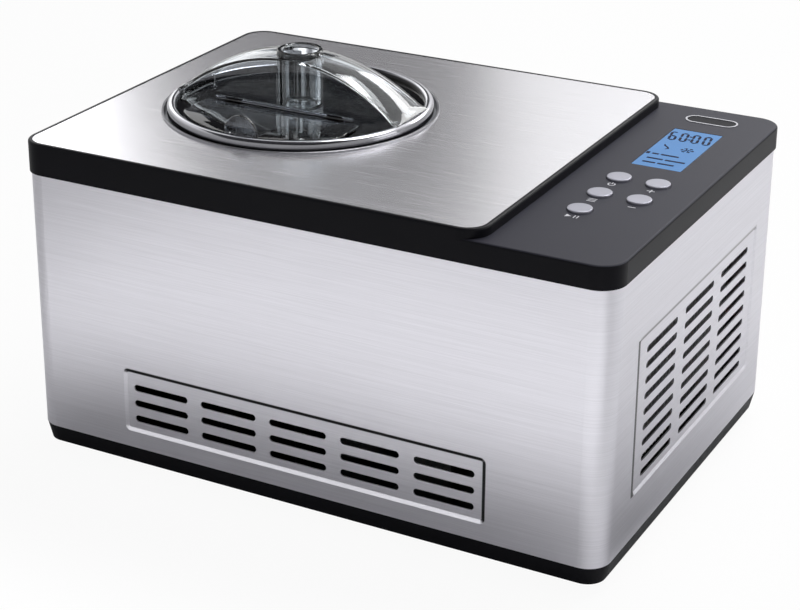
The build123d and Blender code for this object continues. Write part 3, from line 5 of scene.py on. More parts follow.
import bmesh
import bpy
import numpy as np
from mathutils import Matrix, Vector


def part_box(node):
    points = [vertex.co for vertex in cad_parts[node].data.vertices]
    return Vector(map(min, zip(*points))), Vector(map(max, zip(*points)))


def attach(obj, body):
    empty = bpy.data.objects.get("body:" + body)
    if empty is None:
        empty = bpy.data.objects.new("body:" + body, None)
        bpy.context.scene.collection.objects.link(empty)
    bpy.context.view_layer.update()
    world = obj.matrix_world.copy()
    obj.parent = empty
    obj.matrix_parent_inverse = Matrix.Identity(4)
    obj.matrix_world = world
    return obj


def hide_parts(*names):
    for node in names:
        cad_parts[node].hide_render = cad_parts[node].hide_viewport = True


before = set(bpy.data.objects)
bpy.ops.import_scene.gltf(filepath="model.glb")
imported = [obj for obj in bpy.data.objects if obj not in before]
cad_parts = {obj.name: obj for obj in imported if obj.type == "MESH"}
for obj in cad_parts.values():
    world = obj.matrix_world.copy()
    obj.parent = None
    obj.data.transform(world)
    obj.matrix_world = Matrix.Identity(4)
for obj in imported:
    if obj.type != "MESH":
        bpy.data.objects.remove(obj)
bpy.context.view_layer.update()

# Lengths in metres: how far a finish's grain stands up, and the rounding of the post's lip.
GRAIN_DEPTH = 0.00002
LIP = 0.0009
WHITE = (1.0, 1.0, 1.0, 1.0)

bl_info = {
    "name": "Ice Cream Maker Looks",
    "version": (1, 0, 0),
    "blender": (4, 5, 0),
    "location": "View3D > Sidebar > Ice Cream Maker",
    "description": "Dresses the packed ice cream maker with its finishes, fine pieces and studio",
    "category": "Object",
}


def from_screen(red, green, blue):
    """A colour read on a screen, 0 to 255, as the linear numbers that shaders take."""
    share = np.array([red, green, blue]) / 255.0
    linear = np.where(share <= 0.04045, share / 12.92, ((share + 0.055) / 1.055) ** 2.4)
    return tuple(float(value) for value in linear)


def tint(description, red, green, blue):
    """A colour setting whose default is given as it looks on a screen."""
    return bpy.props.FloatVectorProperty(
        description=description,
        default=from_screen(red, green, blue),
        size=3,
        min=0.0,
        max=1.0,
        subtype="COLOR",
    )


def length(description, millimetres):
    """A length setting whose default is given in millimetres."""
    return bpy.props.FloatProperty(
        description=description,
        default=millimetres / 1000.0,
        precision=5,
        unit="LENGTH",
    )


class MakerColours(bpy.types.PropertyGroup):
    """Colours of the finishes that show on the outside."""

    steel: tint("Brushed steel of the cabinet", 222, 221, 228)
    plate: tint("Brushed steel of the top plate", 230, 229, 233)
    chrome: tint("Bright rings round the lid", 196, 196, 202)
    black: tint("Moulded black of the frame and tray", 18, 18, 23)
    deck: tint("Satin grey of the control deck", 56, 56, 65)
    clear: tint("Tint of the clear handle", 236, 240, 243)
    smoke: tint("Tint of the lid's window", 52, 52, 58)
    flap: tint("Tint of the filler flap", 176, 178, 184)
    key: tint("Silver of the round keys", 156, 156, 168)
    print: tint("Pale print beside the keys", 214, 214, 220)
    lit: tint("Lit blue of the display", 72, 132, 194)
    segment: tint("Dark segments of the display", 16, 24, 52)
    badge: tint("Dark face of the bare badge", 26, 26, 31)


class MakerSizes(bpy.types.PropertyGroup):
    """Fine sizes of the marks, of the lid's clear castings and of the painted shade on the side panel."""

    ink: length("Height of a printed or lit mark above its surface", 0.08)
    side_edge: length("Where the side vents' panel begins behind the front", -102.0)
    side_back: length("Where the side vents' panel ends at the back", 110.0)
    side_middle: length("Height of the middle of the side vents' panel", 102.2)
    side_half: length("Half the height of the side vents' panel", 53.4)
    edge_line: length("Width of the shade along the panel's front edge", 5.4)
    window_hidden: length("Edge of the display's window under the deck", 2.0)
    digit_height: length("Height of the display's digits", 15.5)
    digit_width: length("Width of the display's digits", 3.9)
    segment_width: length("Width of a digit's segments", 1.75)
    symbol: length("Half the height of a key's symbol", 2.6)
    symbol_line: length("Line width of a key's symbol", 0.75)
    symbol_drop: length("From a key's middle to its symbol", 12.6)
    handle_end: length("Half width of the handle's arch at its ends", 22.0)
    handle_waist: length("Half width of the handle's arch at its middle", 16.5)
    handle_shell: length("Thickness of the handle's clear walls", 2.2)
    handle_crown: length("Drop from the arch's ridge to its edges", 2.4)
    handle_round: length("Rounding of the arch's long edges", 1.1)
    post_radius: length("Radius of the handle's middle post", 16.0)
    post_cup: length("Radius of the cup in the post", 12.4)
    post_cup_depth: length("Depth of the cup in the post", 40.0)
    post_socket: length("Radius of the socket under the post", 6.5)
    post_socket_depth: length("Depth of the socket under the post", 5.0)
    foot_drop: length("From the rim's top down to the handle's feet", 3.8)
    flap_half: length("Half the width of the filler flap", 61.0)
    flap_back: length("From the lid's axis to the flap's straight edge", 24.9)
    flap_hinge: length("From the lid's axis to the hinge pin", 22.0)
    flap_base: length("From the hinge pin down to the flap's underside", 2.2)
    flap_plate: length("Thickness of the filler flap", 1.8)
    flap_corner: length("Run over which the flap's corners are rounded", 10.0)
    tab_radius: length("Radius of the half-round finger tab", 12.5)
    tab_half: length("Half the thickness of the finger tab", 1.3)
    tab_set_in: length("From the flap's round edge to the tab's middle", 4.5)


class MakerStage(bpy.types.PropertyGroup):
    """Camera and light of the studio."""

    azimuth: bpy.props.FloatProperty(
        description="Camera's turn round the machine", default=math.radians(28.7845), subtype="ANGLE",
    )
    elevation: bpy.props.FloatProperty(
        description="Camera's height as an angle", default=math.radians(22.2794), subtype="ANGLE",
    )
    camera_place: bpy.props.FloatVectorProperty(
        description="Where the camera stands", default=(0.61048, -1.17353, 0.68021), subtype="TRANSLATION",
    )
    lens: bpy.props.FloatProperty(description="Focal length in millimetres", default=93.5, min=10.0)
    fill: bpy.props.FloatProperty(description="Even light from all round", default=0.15, min=0.0)
    key_power: bpy.props.FloatProperty(
        description="Power of the overhead soft box", default=21.0, min=0.0, subtype="POWER",
    )


class Link:
    """A socket of a finish; Python arithmetic on it adds Math nodes."""

    def __init__(self, finish, socket):
        self.finish = finish
        self.socket = socket

    def math(self, operation, *values):
        """A Math node of that operation on these values."""
        inputs = dict(enumerate(values))
        return self.finish.node("ShaderNodeMath", {"operation": operation}, inputs)

    def __add__(self, other):
        return self.math("ADD", self, other)

    def __sub__(self, other):
        return self.math("SUBTRACT", self, other)

    def __mul__(self, other):
        return self.math("MULTIPLY", self, other)

    def __abs__(self):
        return self.math("ABSOLUTE", self)

    def larger(self, other):
        """The larger of two numbers."""
        return self.math("MAXIMUM", self, other)

    def __gt__(self, other):
        return self.math("GREATER_THAN", self, other)

    def __lt__(self, other):
        return self.math("LESS_THAN", self, other)


class Finish:
    """A finish under way: a node tree, one method that adds any node, and a few common patterns."""

    def __init__(self, holder):
        holder.use_nodes = True
        self.holder = holder
        self.tree = holder.node_tree
        self.tree.nodes.clear()

    def node(self, kind, settings=None, inputs=None, output=0):
        """Adds a node, makes its settings, then gives its sockets their values or links."""
        made = self.tree.nodes.new(kind)
        for name, value in (settings or {}).items():
            setattr(made, name, value)
        for key, value in (inputs or {}).items():
            if isinstance(value, Link):
                self.tree.links.new(value.socket, made.inputs[key])
            else:
                made.inputs[key].default_value = value
        return Link(self, made.outputs[output]) if made.outputs else None

    def parts(self, kind, output):
        """The three parts of a node's vector as numbers."""
        vector = self.node(kind, output=output)
        split = self.node("ShaderNodeSeparateXYZ", inputs={0: vector}).socket.node
        return tuple(Link(self, socket) for socket in split.outputs)

    def axes(self):
        """The three object coordinates as numbers."""
        return self.parts("ShaderNodeTexCoord", "Object")

    def facing(self):
        """The three parts of the surface's direction as numbers."""
        return self.parts("ShaderNodeNewGeometry", "Normal")

    def ramp(self, value, first, last):
        """A number that climbs from 0 to 1 while the value goes from first to last."""
        return self.node("ShaderNodeMapRange", inputs={0: value, 1: first, 2: last})

    def noise(self, scale, detail, rough=0.5, stretch=(1.0, 1.0, 1.0)):
        """Soft noise from 0 to 1, mostly near a half, over stretched object coordinates."""
        where = self.node("ShaderNodeTexCoord", output="Object")
        where = self.node("ShaderNodeMapping", inputs={"Vector": where, "Scale": stretch})
        inputs = {"Vector": where, "Scale": scale, "Detail": detail, "Roughness": rough}
        return self.node("ShaderNodeTexNoise", inputs=inputs)

    def blend(self, share, first, second):
        """A colour between two colours."""
        return self.node(
            "ShaderNodeMix", {"data_type": "RGBA"}, {0: share, 6: opaque(first), 7: opaque(second)}, 2
        )

    def tones(self, share, colour, spread):
        """A colour that wanders up and down about a mean by a spread."""
        return self.blend(share, shaded(colour, 1.0 - spread), shaded(colour, 1.0 + spread))

    def bump(self, height, depth, strength):
        """A surface normal tilted by a height pattern of that depth in metres."""
        inputs = {"Height": height, "Distance": depth, "Strength": strength}
        return self.node("ShaderNodeBump", inputs=inputs)

    def skin(self, **inputs):
        """The main shader with these inputs, joined to the output."""
        named = {}
        for words, value in inputs.items():
            name = words.replace("_", " ").title().replace("Ior", "IOR")
            named[name] = opaque(value) if name.endswith("Color") else value
        shader = self.node("ShaderNodeBsdfPrincipled", inputs=named)
        self.node("ShaderNodeOutputMaterial", inputs={"Surface": shader})
        return self.holder


def opaque(colour):
    """A colour of three numbers with its alpha added; a link stays as it is."""
    return colour if isinstance(colour, Link) else (*tuple(colour)[:3], 1.0)


def shaded(colour, factor):
    """A colour made lighter or darker by a factor."""
    return tuple(min(1.0, value * factor) for value in tuple(colour)[:3])


def new_finish(name):
    """An empty finish of that name."""
    return Finish(bpy.data.materials.new(name))


def brushed(name, colour, stretch, roughness, anisotropy, spread, shade=None):
    """Brushed steel: fine and broad scratches drawn out along the brushing direction, and painted shade in
    places.
    """
    contrast = 2.4
    painted_shade_tone = 0.05
    finish = new_finish(name)
    fine = finish.noise(60.0, 3.0, 0.6, tuple(3.0 * value for value in stretch))
    broad = finish.noise(40.0, 4.0, 0.65, stretch)
    grain = fine * 0.6 + broad * 0.4
    tone = finish.tones((grain - 0.5) * contrast + 0.5, colour, spread)
    # Painted shade: where the shade share is high, the tone goes to a nearly black copy of the steel.
    if shade:
        tone = finish.blend(shade(finish), tone, shaded(colour, painted_shade_tone))
    return finish.skin(
        base_color=tone,
        metallic=1.0,
        roughness=(grain - 0.5) * 1.4 * spread + roughness,
        anisotropic=anisotropy,
        normal=finish.bump(grain, GRAIN_DEPTH, 0.5),
    )


def mottled(
    name, colour, roughness, metal=0.0, grain=900.0, spread=0.12, depth=GRAIN_DEPTH, specular=0.5
):
    """A plain cast, moulded or rolled surface: cloudy tone, uneven gloss and a fine grain."""
    finish = new_finish(name)
    clouds = finish.noise(grain / 12.0, 3.0, 0.6)
    fine = finish.noise(grain, 2.0)
    return finish.skin(
        base_color=finish.tones(clouds * 0.7 + fine * 0.3, colour, spread),
        metallic=metal,
        roughness=(clouds - 0.5) * 0.2 + roughness,
        specular_ior_level=specular,
        normal=finish.bump(fine, depth, 0.6),
    )


def clear_plastic(name, colour, roughness):
    """Clear moulded plastic with faint flow marks."""
    finish = new_finish(name)
    flow = finish.noise(24.0, 2.0, stretch=(1.0, 1.0, 0.4))
    return finish.skin(
        base_color=finish.blend(flow, shaded(colour, 0.97), colour),
        roughness=flow * 0.03 + roughness,
        ior=1.49,
        transmission_weight=1.0,
    )


def put_on(finish, *nodes):
    """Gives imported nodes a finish."""
    for name in nodes:
        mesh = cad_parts[name].data
        mesh.materials.clear()
        mesh.materials.append(finish)


def put_on_plain(rows):
    """Plain finishes, a row each: name, colour on a screen, roughness, metal, other settings and nodes."""
    for name, colour, roughness, metal, settings, nodes in rows:
        put_on(mottled(name, from_screen(*colour), roughness, metal, **settings), *nodes)


def grid_faces(rows, columns, round_rows=False, round_columns=False):
    """Four-sided faces between neighbours of a grid, whose last row or column may meet its first again."""
    index = np.arange(rows * columns).reshape(rows, columns)
    if round_rows:
        index = np.concatenate([index, index[:1]])
    if round_columns:
        index = np.concatenate([index, index[:, :1]], axis=1)
    quads = np.stack([index[:-1, :-1], index[:-1, 1:], index[1:, 1:], index[1:, :-1]], axis=-1)
    return quads.reshape(-1, 4)


def closed_mesh(name, points, faces):
    """A closed mesh from points and faces, its doubles merged and its faces turned outwards."""
    mesh = bpy.data.meshes.new(name)
    mesh.from_pydata(points.reshape(-1, 3).tolist(), [], [list(face) for face in faces])
    work = bmesh.new()
    work.from_mesh(mesh)
    bmesh.ops.remove_doubles(work, verts=work.verts, dist=1e-7)
    bmesh.ops.dissolve_degenerate(work, edges=work.edges, dist=1e-8)
    bmesh.ops.recalc_face_normals(work, faces=work.faces)
    work.to_mesh(mesh)
    work.free()
    return mesh


def combined(first, second, operation):
    """Two closed meshes joined, or the second taken out of the first, as a new mesh."""
    pieces = [bpy.data.objects.new(mesh.name, mesh) for mesh in (first, second)]
    for piece in pieces:
        bpy.context.scene.collection.objects.link(piece)
    cut = pieces[0].modifiers.new("cut", "BOOLEAN")
    cut.operation = operation
    cut.solver = "EXACT"
    cut.object = pieces[1]
    bpy.context.view_layer.update()
    shaped = pieces[0].evaluated_get(bpy.context.evaluated_depsgraph_get())
    result = bpy.data.meshes.new_from_object(shaped)
    for piece, mesh in zip(pieces, (first, second)):
        bpy.data.objects.remove(piece)
        bpy.data.meshes.remove(mesh)
    return result


def add_mesh(name, mesh, finish, body, crease=35.0):
    """A piece that shows a mesh, smooth up to a crease angle, riding on a body."""
    mesh.name = name
    mesh.shade_smooth()
    mesh.set_sharp_from_angle(angle=math.radians(crease))
    mesh.materials.clear()
    mesh.materials.append(finish)
    piece = bpy.data.objects.new(name, mesh)
    bpy.context.scene.collection.objects.link(piece)
    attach(piece, body)
    return piece


def add_marks(name, marks, base, height, finish):
    """Flat marks as one piece with sharp edges, riding on the housing."""
    raised = [stroke(line, half, base, height) for line, half in marks]
    add_mesh(name, closed_mesh(name, *joined(raised)), finish, "housing", crease=1.0)


def stroke(line, half_widths, base, height):
    """A flat mark: a rectangle carried along a polyline, its width following the half widths.

    The sideways direction at each point is the mean of its two runs' normals, lengthened at a corner so
    that both runs keep their width. Returns points, four to each point of the line, and faces.
    """
    line = np.asarray(line, float)
    half = np.broadcast_to(np.asarray(half_widths, float), len(line))
    closed = np.allclose(line[0], line[-1])
    runs = np.diff(line, axis=0)
    sides = np.stack([-runs[:, 1], runs[:, 0]], axis=1)
    sides /= np.linalg.norm(sides, axis=1)[:, None]
    before = np.concatenate([sides[-1:] if closed else sides[:1], sides])
    after = np.concatenate([sides, sides[:1] if closed else sides[-1:]])
    mean = before + after
    mean /= np.linalg.norm(mean, axis=1)[:, None]
    mean /= np.maximum(np.sum(mean * after, axis=1), 0.4)[:, None]
    left = line + mean * half[:, None]
    right = line - mean * half[:, None]
    low = np.full((len(line), 1), base)
    high = low + height
    edges = ((left, low), (left, high), (right, high), (right, low))
    ring = np.stack([np.hstack(edge) for edge in edges], axis=1)
    faces = grid_faces(len(line), 4, False, True).tolist()
    if not closed:
        last = 4 * (len(line) - 1)
        faces += [[0, 1, 2, 3], [last + 3, last + 2, last + 1, last]]
    return ring.reshape(-1, 3), faces


def joined(marks):
    """Several sets of points and faces as one."""
    points = []
    faces = []
    start = 0
    for mark_points, mark_faces in marks:
        points.append(mark_points)
        faces += [[index + start for index in face] for face in mark_faces]
        start += len(mark_points)
    return np.concatenate(points), faces


def arc(centre, radius, first, last, steps=24):
    """Points on a circle from one angle to another, in degrees."""
    turn = np.radians(np.linspace(first, last, steps + 1))
    return np.stack([centre[0] + radius * np.cos(turn), centre[1] + radius * np.sin(turn)], axis=1)


def revolved(profile, centre):
    """A profile of radius and height turned about an upright axis."""
    steps = 96
    turn = np.linspace(0.0, 2 * np.pi, steps, endpoint=False)[:, None]
    x = centre[0] + np.cos(turn) * profile[:, 0]
    y = centre[1] + np.sin(turn) * profile[:, 0]
    z = np.broadcast_to(profile[:, 1], x.shape)
    return np.stack([x, y, z], axis=-1), grid_faces(steps, len(profile), True, False)


def box_of(node):
    """A node's lowest and highest corners as arrays."""
    low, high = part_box(node)
    return np.array(low), np.array(high)


def top_of(node):
    """The height of a node's top."""
    return float(box_of(node)[1][2])


def middle_of(node):
    """The middle of a node's box."""
    low, high = box_of(node)
    return (low + high) / 2


class MAKER_OT_cabinet(bpy.types.Operator):
    """Brushes the steel of the cabinet, its rear panel and the top plate"""

    bl_idname = "maker.cabinet"
    bl_label = "Cabinet"

    def execute(self, context):
        colours = context.scene.maker_colours
        level = ((0.12, 0.12, 20.0), 0.33, 0.5, 0.1)
        # The cabinet's steel carries painted shade on the vent panels' pressed edges.
        put_on(brushed("steel_brushed_round", colours.steel, *level, self.edges), "body_shell")
        put_on(brushed("steel_brushed_rear", colours.steel, *level), "rear_panel")
        plate = brushed("steel_brushed_across", colours.plate, (0.12, 20.0, 0.12), 0.26, 0.0, 0.08)
        put_on(plate, "top_plate")
        return {"FINISHED"}

    def edges(self, finish):
        """Painted shade on the vent panels' edges: sloped ones that face down or off the light, and two
        strips.

        On the side panel a painted dark strip runs up the front edge, and a soft one along the top.
        """
        sizes = bpy.context.scene.maker_sizes
        low, high = box_of("body_shell")
        x, y, z = finish.axes()
        across, along, up = finish.facing()
        skin = 0.004
        corner = 0.017
        lean = (0.06, 0.3)
        top_shade_reach = (0.0017, 0.0005)
        front = (y < float(low[1]) + skin) * (abs(x) < float(high[0]) - corner)
        side = (x > float(high[0]) - skin) * (abs(y) < float(high[1]) - corner)
        down = finish.ramp(up * -1.0, *lean)
        painted_front_shade = front * down.larger(finish.ramp(across * -1.0, *lean))
        # A painted dark strip up the side panel's front edge.
        strip = abs(y - sizes.side_edge) < sizes.edge_line / 2
        strip = strip * (abs(z - sizes.side_middle) < sizes.side_half)
        turned = (strip * 0.9).larger(finish.ramp(along, *lean))
        # A soft painted shade along the side panel's top edge.
        top = abs(z - (sizes.side_middle + sizes.side_half))
        lip = finish.ramp(top, *top_shade_reach) * (y > sizes.side_edge) * (y < sizes.side_back)
        return painted_front_shade + side * (down * 0.6).larger(lip * 0.3).larger(turned)


class MAKER_OT_frame(bpy.types.Operator):
    """Moulds the black frame with its satin deck, the tray and the feet"""

    bl_idname = "maker.frame"
    bl_label = "Frame and tray"

    def execute(self, context):
        colours = context.scene.maker_colours
        deck_top = top_of("badge_plate")
        finish = new_finish("frame_moulded")
        height = finish.axes()[2]
        upright = finish.facing()[2]
        above, below = 0.0002, 0.004
        panel = (upright > 0.6) * (height < deck_top + above) * (height > deck_top - below)
        fine = finish.noise(2600.0, 2.0)
        clouds = finish.noise(30.0, 3.0)
        shell = finish.tones(clouds, colours.black, 0.1)
        satin = finish.tones(fine * 0.5 + clouds * 0.5, colours.deck, 0.07)
        finish.skin(
            base_color=finish.blend(panel, shell, satin),
            roughness=panel * 0.06 + fine * 0.1 + 0.34,
            specular_ior_level=0.09,
            normal=finish.bump(fine, GRAIN_DEPTH, 0.5),
        )
        put_on(finish.holder, "top_frame")
        tray = mottled("tray_moulded", colours.black, 0.5, grain=2200.0, specular=0.1)
        put_on(tray, "base_tray")
        feet = mottled("feet_rubber", shaded(colours.black, 0.9), 0.75, grain=1500.0, specular=0.3)
        put_on(feet, "rubber_feet", "cord_gland")
        return {"FINISHED"}


class MAKER_OT_rings(bpy.types.Operator):
    """Plates the trim ring and the lid's rim"""

    bl_idname = "maker.rings"
    bl_label = "Bright rings"

    def execute(self, context):
        colours = context.scene.maker_colours
        satin_and_painted_shade_tone = shaded(colours.chrome, 0.4)
        painted_dark_tone = shaded(colours.chrome, 0.03)
        finish = new_finish("chrome_plated")
        haze = finish.noise(60.0, 4.0, 0.6)
        bright = finish.blend(haze, shaded(colours.chrome, 0.94), colours.chrome)
        # Painted shade: the rim's outward walls are darkened to grey and its inward walls to nearly black,
        # in place of the dark reflections and shadowed gaps round the rim.
        outward = self.outward(finish)
        painted_outer_shade = finish.ramp(outward, 0.55, 0.9)
        painted_inner_shade = finish.ramp(outward, -0.45, -0.75)
        tone = finish.blend(painted_outer_shade, bright, satin_and_painted_shade_tone)
        finish.skin(
            base_color=finish.blend(painted_inner_shade, tone, painted_dark_tone),
            metallic=1.0,
            roughness=haze * 0.1 + 0.13,
        )
        put_on(finish.holder, "lid_rim")
        # The trim ring itself is a satin metal of that same darker tone.
        satin = mottled("trim_satin", satin_and_painted_shade_tone, 0.34, 1.0, grain=1200.0, spread=0.06)
        put_on(satin, "trim_ring")
        return {"FINISHED"}

    def outward(self, finish):
        """How far the lid's rim faces away from its axis: 1 straight out, -1 straight in."""
        axis = middle_of("lid_rim")
        x, y, _ = finish.axes()
        across, along, _ = finish.facing()
        out_x, out_y = x - float(axis[0]), y - float(axis[1])
        mean_radius = (float(box_of("lid_rim")[1][0]) - float(axis[0])) * 0.97
        return (across * out_x + along * out_y) * (1.0 / mean_radius)


def flap_plate(sizes, axis, radius, base):
    """A flat plate with a rounded edge: its outline moved in by a quarter circle above and below.

    The outline is a circle's segment cut straight at the back and at both sides, sampled by length and
    averaged over a short run, which rounds its corners.
    """
    half, back = sizes.flap_half, sizes.flap_back
    lean = math.degrees(math.acos(half / radius))
    front = arc((0.0, 0.0), radius, -lean, lean - 180.0, 200)
    rough = np.concatenate([front, [[-half, -back], [half, -back]], front[:1]])
    runs = np.concatenate([[0.0], np.cumsum(np.linalg.norm(np.diff(rough, axis=0), axis=1))])
    count = 720
    way = np.linspace(0.0, runs[-1], count, endpoint=False)
    even = np.stack([np.interp(way, runs, rough[:, index]) for index in range(2)], axis=1)
    window = max(3, int(round(sizes.flap_corner / (runs[-1] / count))))
    shift = np.arange(window) - window // 2
    outline = even[(np.arange(count)[:, None] + shift[None, :]) % count].mean(axis=1)
    along = np.roll(outline, -1, axis=0) - np.roll(outline, 1, axis=0)
    inward = np.stack([along[:, 1], -along[:, 0]], axis=1) / np.linalg.norm(along, axis=1)[:, None]
    edge = sizes.flap_plate * 0.42
    bend = np.linspace(0.0, np.pi / 2, 6)
    moved = np.concatenate([edge * (1 - np.sin(bend)), edge * (1 - np.cos(bend))])
    height = np.concatenate([edge * (1 - np.cos(bend)), sizes.flap_plate - edge * (1 - np.sin(bend))])
    flat = outline[:, None, :] + inward[:, None, :] * moved[None, :, None] + axis
    level = np.broadcast_to((base + height)[None, :, None], (*flat.shape[:2], 1))
    points = np.concatenate([flat, level], axis=2)
    rows, columns = points.shape[:2]
    faces = grid_faces(rows, columns, True, False).tolist()
    under = [row * columns for row in range(rows)]
    over = [row * columns + columns - 1 for row in range(rows)]
    return points, faces + [under, over[::-1]]


def flap_barrel(sizes, axis, pin, pin_radius, knuckle):
    """A tube round the hinge pin: its bore and its outside, at one end and at the other."""
    steps = 48
    shorter = 0.007
    play = 0.0001
    turn = np.linspace(0.0, 2 * np.pi, steps, endpoint=False)
    hinge = axis[1] - sizes.flap_hinge
    half = sizes.flap_half - shorter
    inner, outer = (
        np.stack([hinge + radius * np.cos(turn), pin + radius * np.sin(turn)], axis=1)
        for radius in (pin_radius + play, knuckle)
    )
    x = np.array([-half, half]) + axis[0]
    walls = ((x[0], inner), (x[0], outer), (x[1], outer), (x[1], inner))
    ring = np.stack([np.column_stack([np.full(steps, end), side]) for end, side in walls])
    return ring, grid_faces(len(walls), steps, True, True)


def flap_tab(sizes, axis, radius, base):
    """Half a disc with a rounded rim, stood upright on the plate and let into it a little."""
    steps = 48
    soft = 0.0009
    sunk = base + sizes.flap_plate * 0.5
    turn = np.linspace(0.0, np.pi, steps + 1)[:, None]
    bend = np.linspace(0.0, np.pi / 2, 6)
    r = sizes.tab_radius - soft + soft * np.sin(bend)
    across = sizes.tab_half - soft + soft * np.cos(bend)
    r = np.concatenate([[0.0], r, r[::-1], [0.0]])
    across = np.concatenate([[sizes.tab_half], across, -across[::-1], [-sizes.tab_half]])
    x = axis[0] + np.cos(turn) * r
    z = base + sizes.flap_plate + np.sin(turn) * r
    z = np.where(np.sin(turn) < 1e-6, sunk, z)
    y = np.broadcast_to(axis[1] - radius + sizes.tab_set_in + across, x.shape)
    points = np.stack([x, y, z], axis=-1)
    points[:, [0, -1], 2] = sunk
    columns = len(r)
    faces = grid_faces(steps + 1, columns).tolist()
    last = steps * columns
    floor = list(range(columns)) + [last + index for index in reversed(range(1, columns - 1))]
    return points, faces + [floor]


def handle_arch(sizes, axis, low, high, rim_top):
    """A hollow vault over the lid: an upside-down U carried along the arch.

    Along the arch the ridge is a circle's arc in height and each side wall a shallow arc in plan,
    wider at the ends. Across it the top drops from the ridge with the square of the distance, its
    edges are quarter circles, and the inside is the same shape moved in by the wall. The feet stand
    on the window, and at both ends on the rim.
    """
    ridge_drop = 0.0012
    end_height = 0.0005
    seat = 0.00005
    jump = 0.0001
    reach = float(high[0] - low[0]) / 2
    ridge = float(high[2]) - ridge_drop
    sag = ridge - (rim_top + end_height)
    radius = (reach**2 + sag**2) / (2 * sag)
    swell = sizes.handle_end - sizes.handle_waist
    side_radius = (reach**2 + swell**2) / (2 * swell)
    step = 0.945 * reach
    turn = np.linspace(-1.0, 1.0, 97)
    steps = [step, step + jump, -step, -step - jump]
    x = np.sort(np.concatenate([reach * np.sin(turn * np.pi / 2), steps]))
    wide = sizes.handle_waist + side_radius - np.sqrt(side_radius**2 - x**2)
    top = ridge - radius + np.sqrt(radius**2 - x**2)
    foot = np.where(np.abs(x) > step, rim_top + seat, rim_top - sizes.foot_drop)
    crown = np.minimum(sizes.handle_crown, (top - foot) * 0.4)
    outside = vault(wide, top, crown, foot, sizes.handle_round)
    shell = sizes.handle_shell
    inside_top = np.maximum(top - shell, foot)
    inside_crown = np.minimum(crown, inside_top - foot)
    inside = vault(wide - shell, inside_top, inside_crown, foot, sizes.handle_round * 0.4)
    ring = np.concatenate([outside, inside[:, ::-1]], axis=1)
    points = np.concatenate([np.broadcast_to(x[:, None, None], (*ring.shape[:2], 1)), ring], axis=2)
    points = points + np.array([axis[0], axis[1], 0.0])
    count = ring.shape[1]
    faces = grid_faces(len(x), count, False, True).tolist()
    last = (len(x) - 1) * count
    faces += [list(range(count)), [last + index for index in reversed(range(count))]]
    return points, faces


def vault(wide, top, crown, foot, rounding):
    """Cross sections of a vault, a row to a station: foot, wall, rounded edge, crown and back."""
    corner = np.minimum(rounding, np.maximum(top - crown - foot, 0.0) * 0.5)[:, None]
    wide, top, crown, foot = wide[:, None], top[:, None], crown[:, None], foot[:, None]
    across = np.linspace(-1.0, 1.0, 25)[None, :] * (wide - corner)
    over = top - crown * (across / wide) ** 2
    edge = over[:, :1]
    quarter = np.linspace(0.0, np.pi / 2, 6)[None, :-1]
    round_y = -wide + corner * (1 - np.cos(quarter))
    round_z = edge - corner + corner * np.sin(quarter)
    rise = np.linspace(0.0, 1.0, 8)[None, :-1]
    wall_z = foot + (edge - corner - foot) * rise
    wall_y = np.broadcast_to(-wide, wall_z.shape)
    y = np.concatenate([wall_y, round_y, across, -round_y[:, ::-1], -wall_y[:, ::-1]], axis=1)
    z = np.concatenate([wall_z, round_z, over, round_z[:, ::-1], wall_z[:, ::-1]], axis=1)
    return np.stack([y, z], axis=2)


def handle_post(sizes, axis, low, high):
    """A round bar with a rounded upper lip and a socket below, turned about the lid's axis."""
    top = float(high[2])
    base = float(low[2])
    bend = np.linspace(0.0, np.pi / 2, 7)
    lip_r = sizes.post_radius - LIP + LIP * np.cos(bend)
    lip_z = top - LIP + LIP * np.sin(bend)
    socket = [0.0, sizes.post_socket, sizes.post_socket, sizes.post_radius]
    socket_z = [base + sizes.post_socket_depth] * 2 + [base] * 2
    r = np.concatenate([socket, lip_r, [0.0]])
    z = np.concatenate([socket_z, lip_z, [top]])
    return revolved(np.stack([r, z], axis=1), axis)


def handle_cup(sizes, axis, high):
    """The cup's inside, flared at its mouth and rounded at its floor."""
    floor = 0.002
    spare = 0.004
    top = float(high[2])
    bend = np.linspace(0.0, np.pi / 2, 7)
    flare_r = sizes.post_cup + LIP - LIP * np.cos(bend)
    flare_z = top - LIP + LIP * np.sin(bend)
    floor_r = sizes.post_cup - floor + floor * np.sin(bend)
    floor_z = top - sizes.post_cup_depth + floor - floor * np.cos(bend)
    r = np.concatenate([[0.0], floor_r, flare_r, [sizes.post_cup + LIP, 0.0]])
    z = np.concatenate([[top - sizes.post_cup_depth], floor_z, flare_z, [top + spare] * 2])
    return revolved(np.stack([r, z], axis=1), axis)


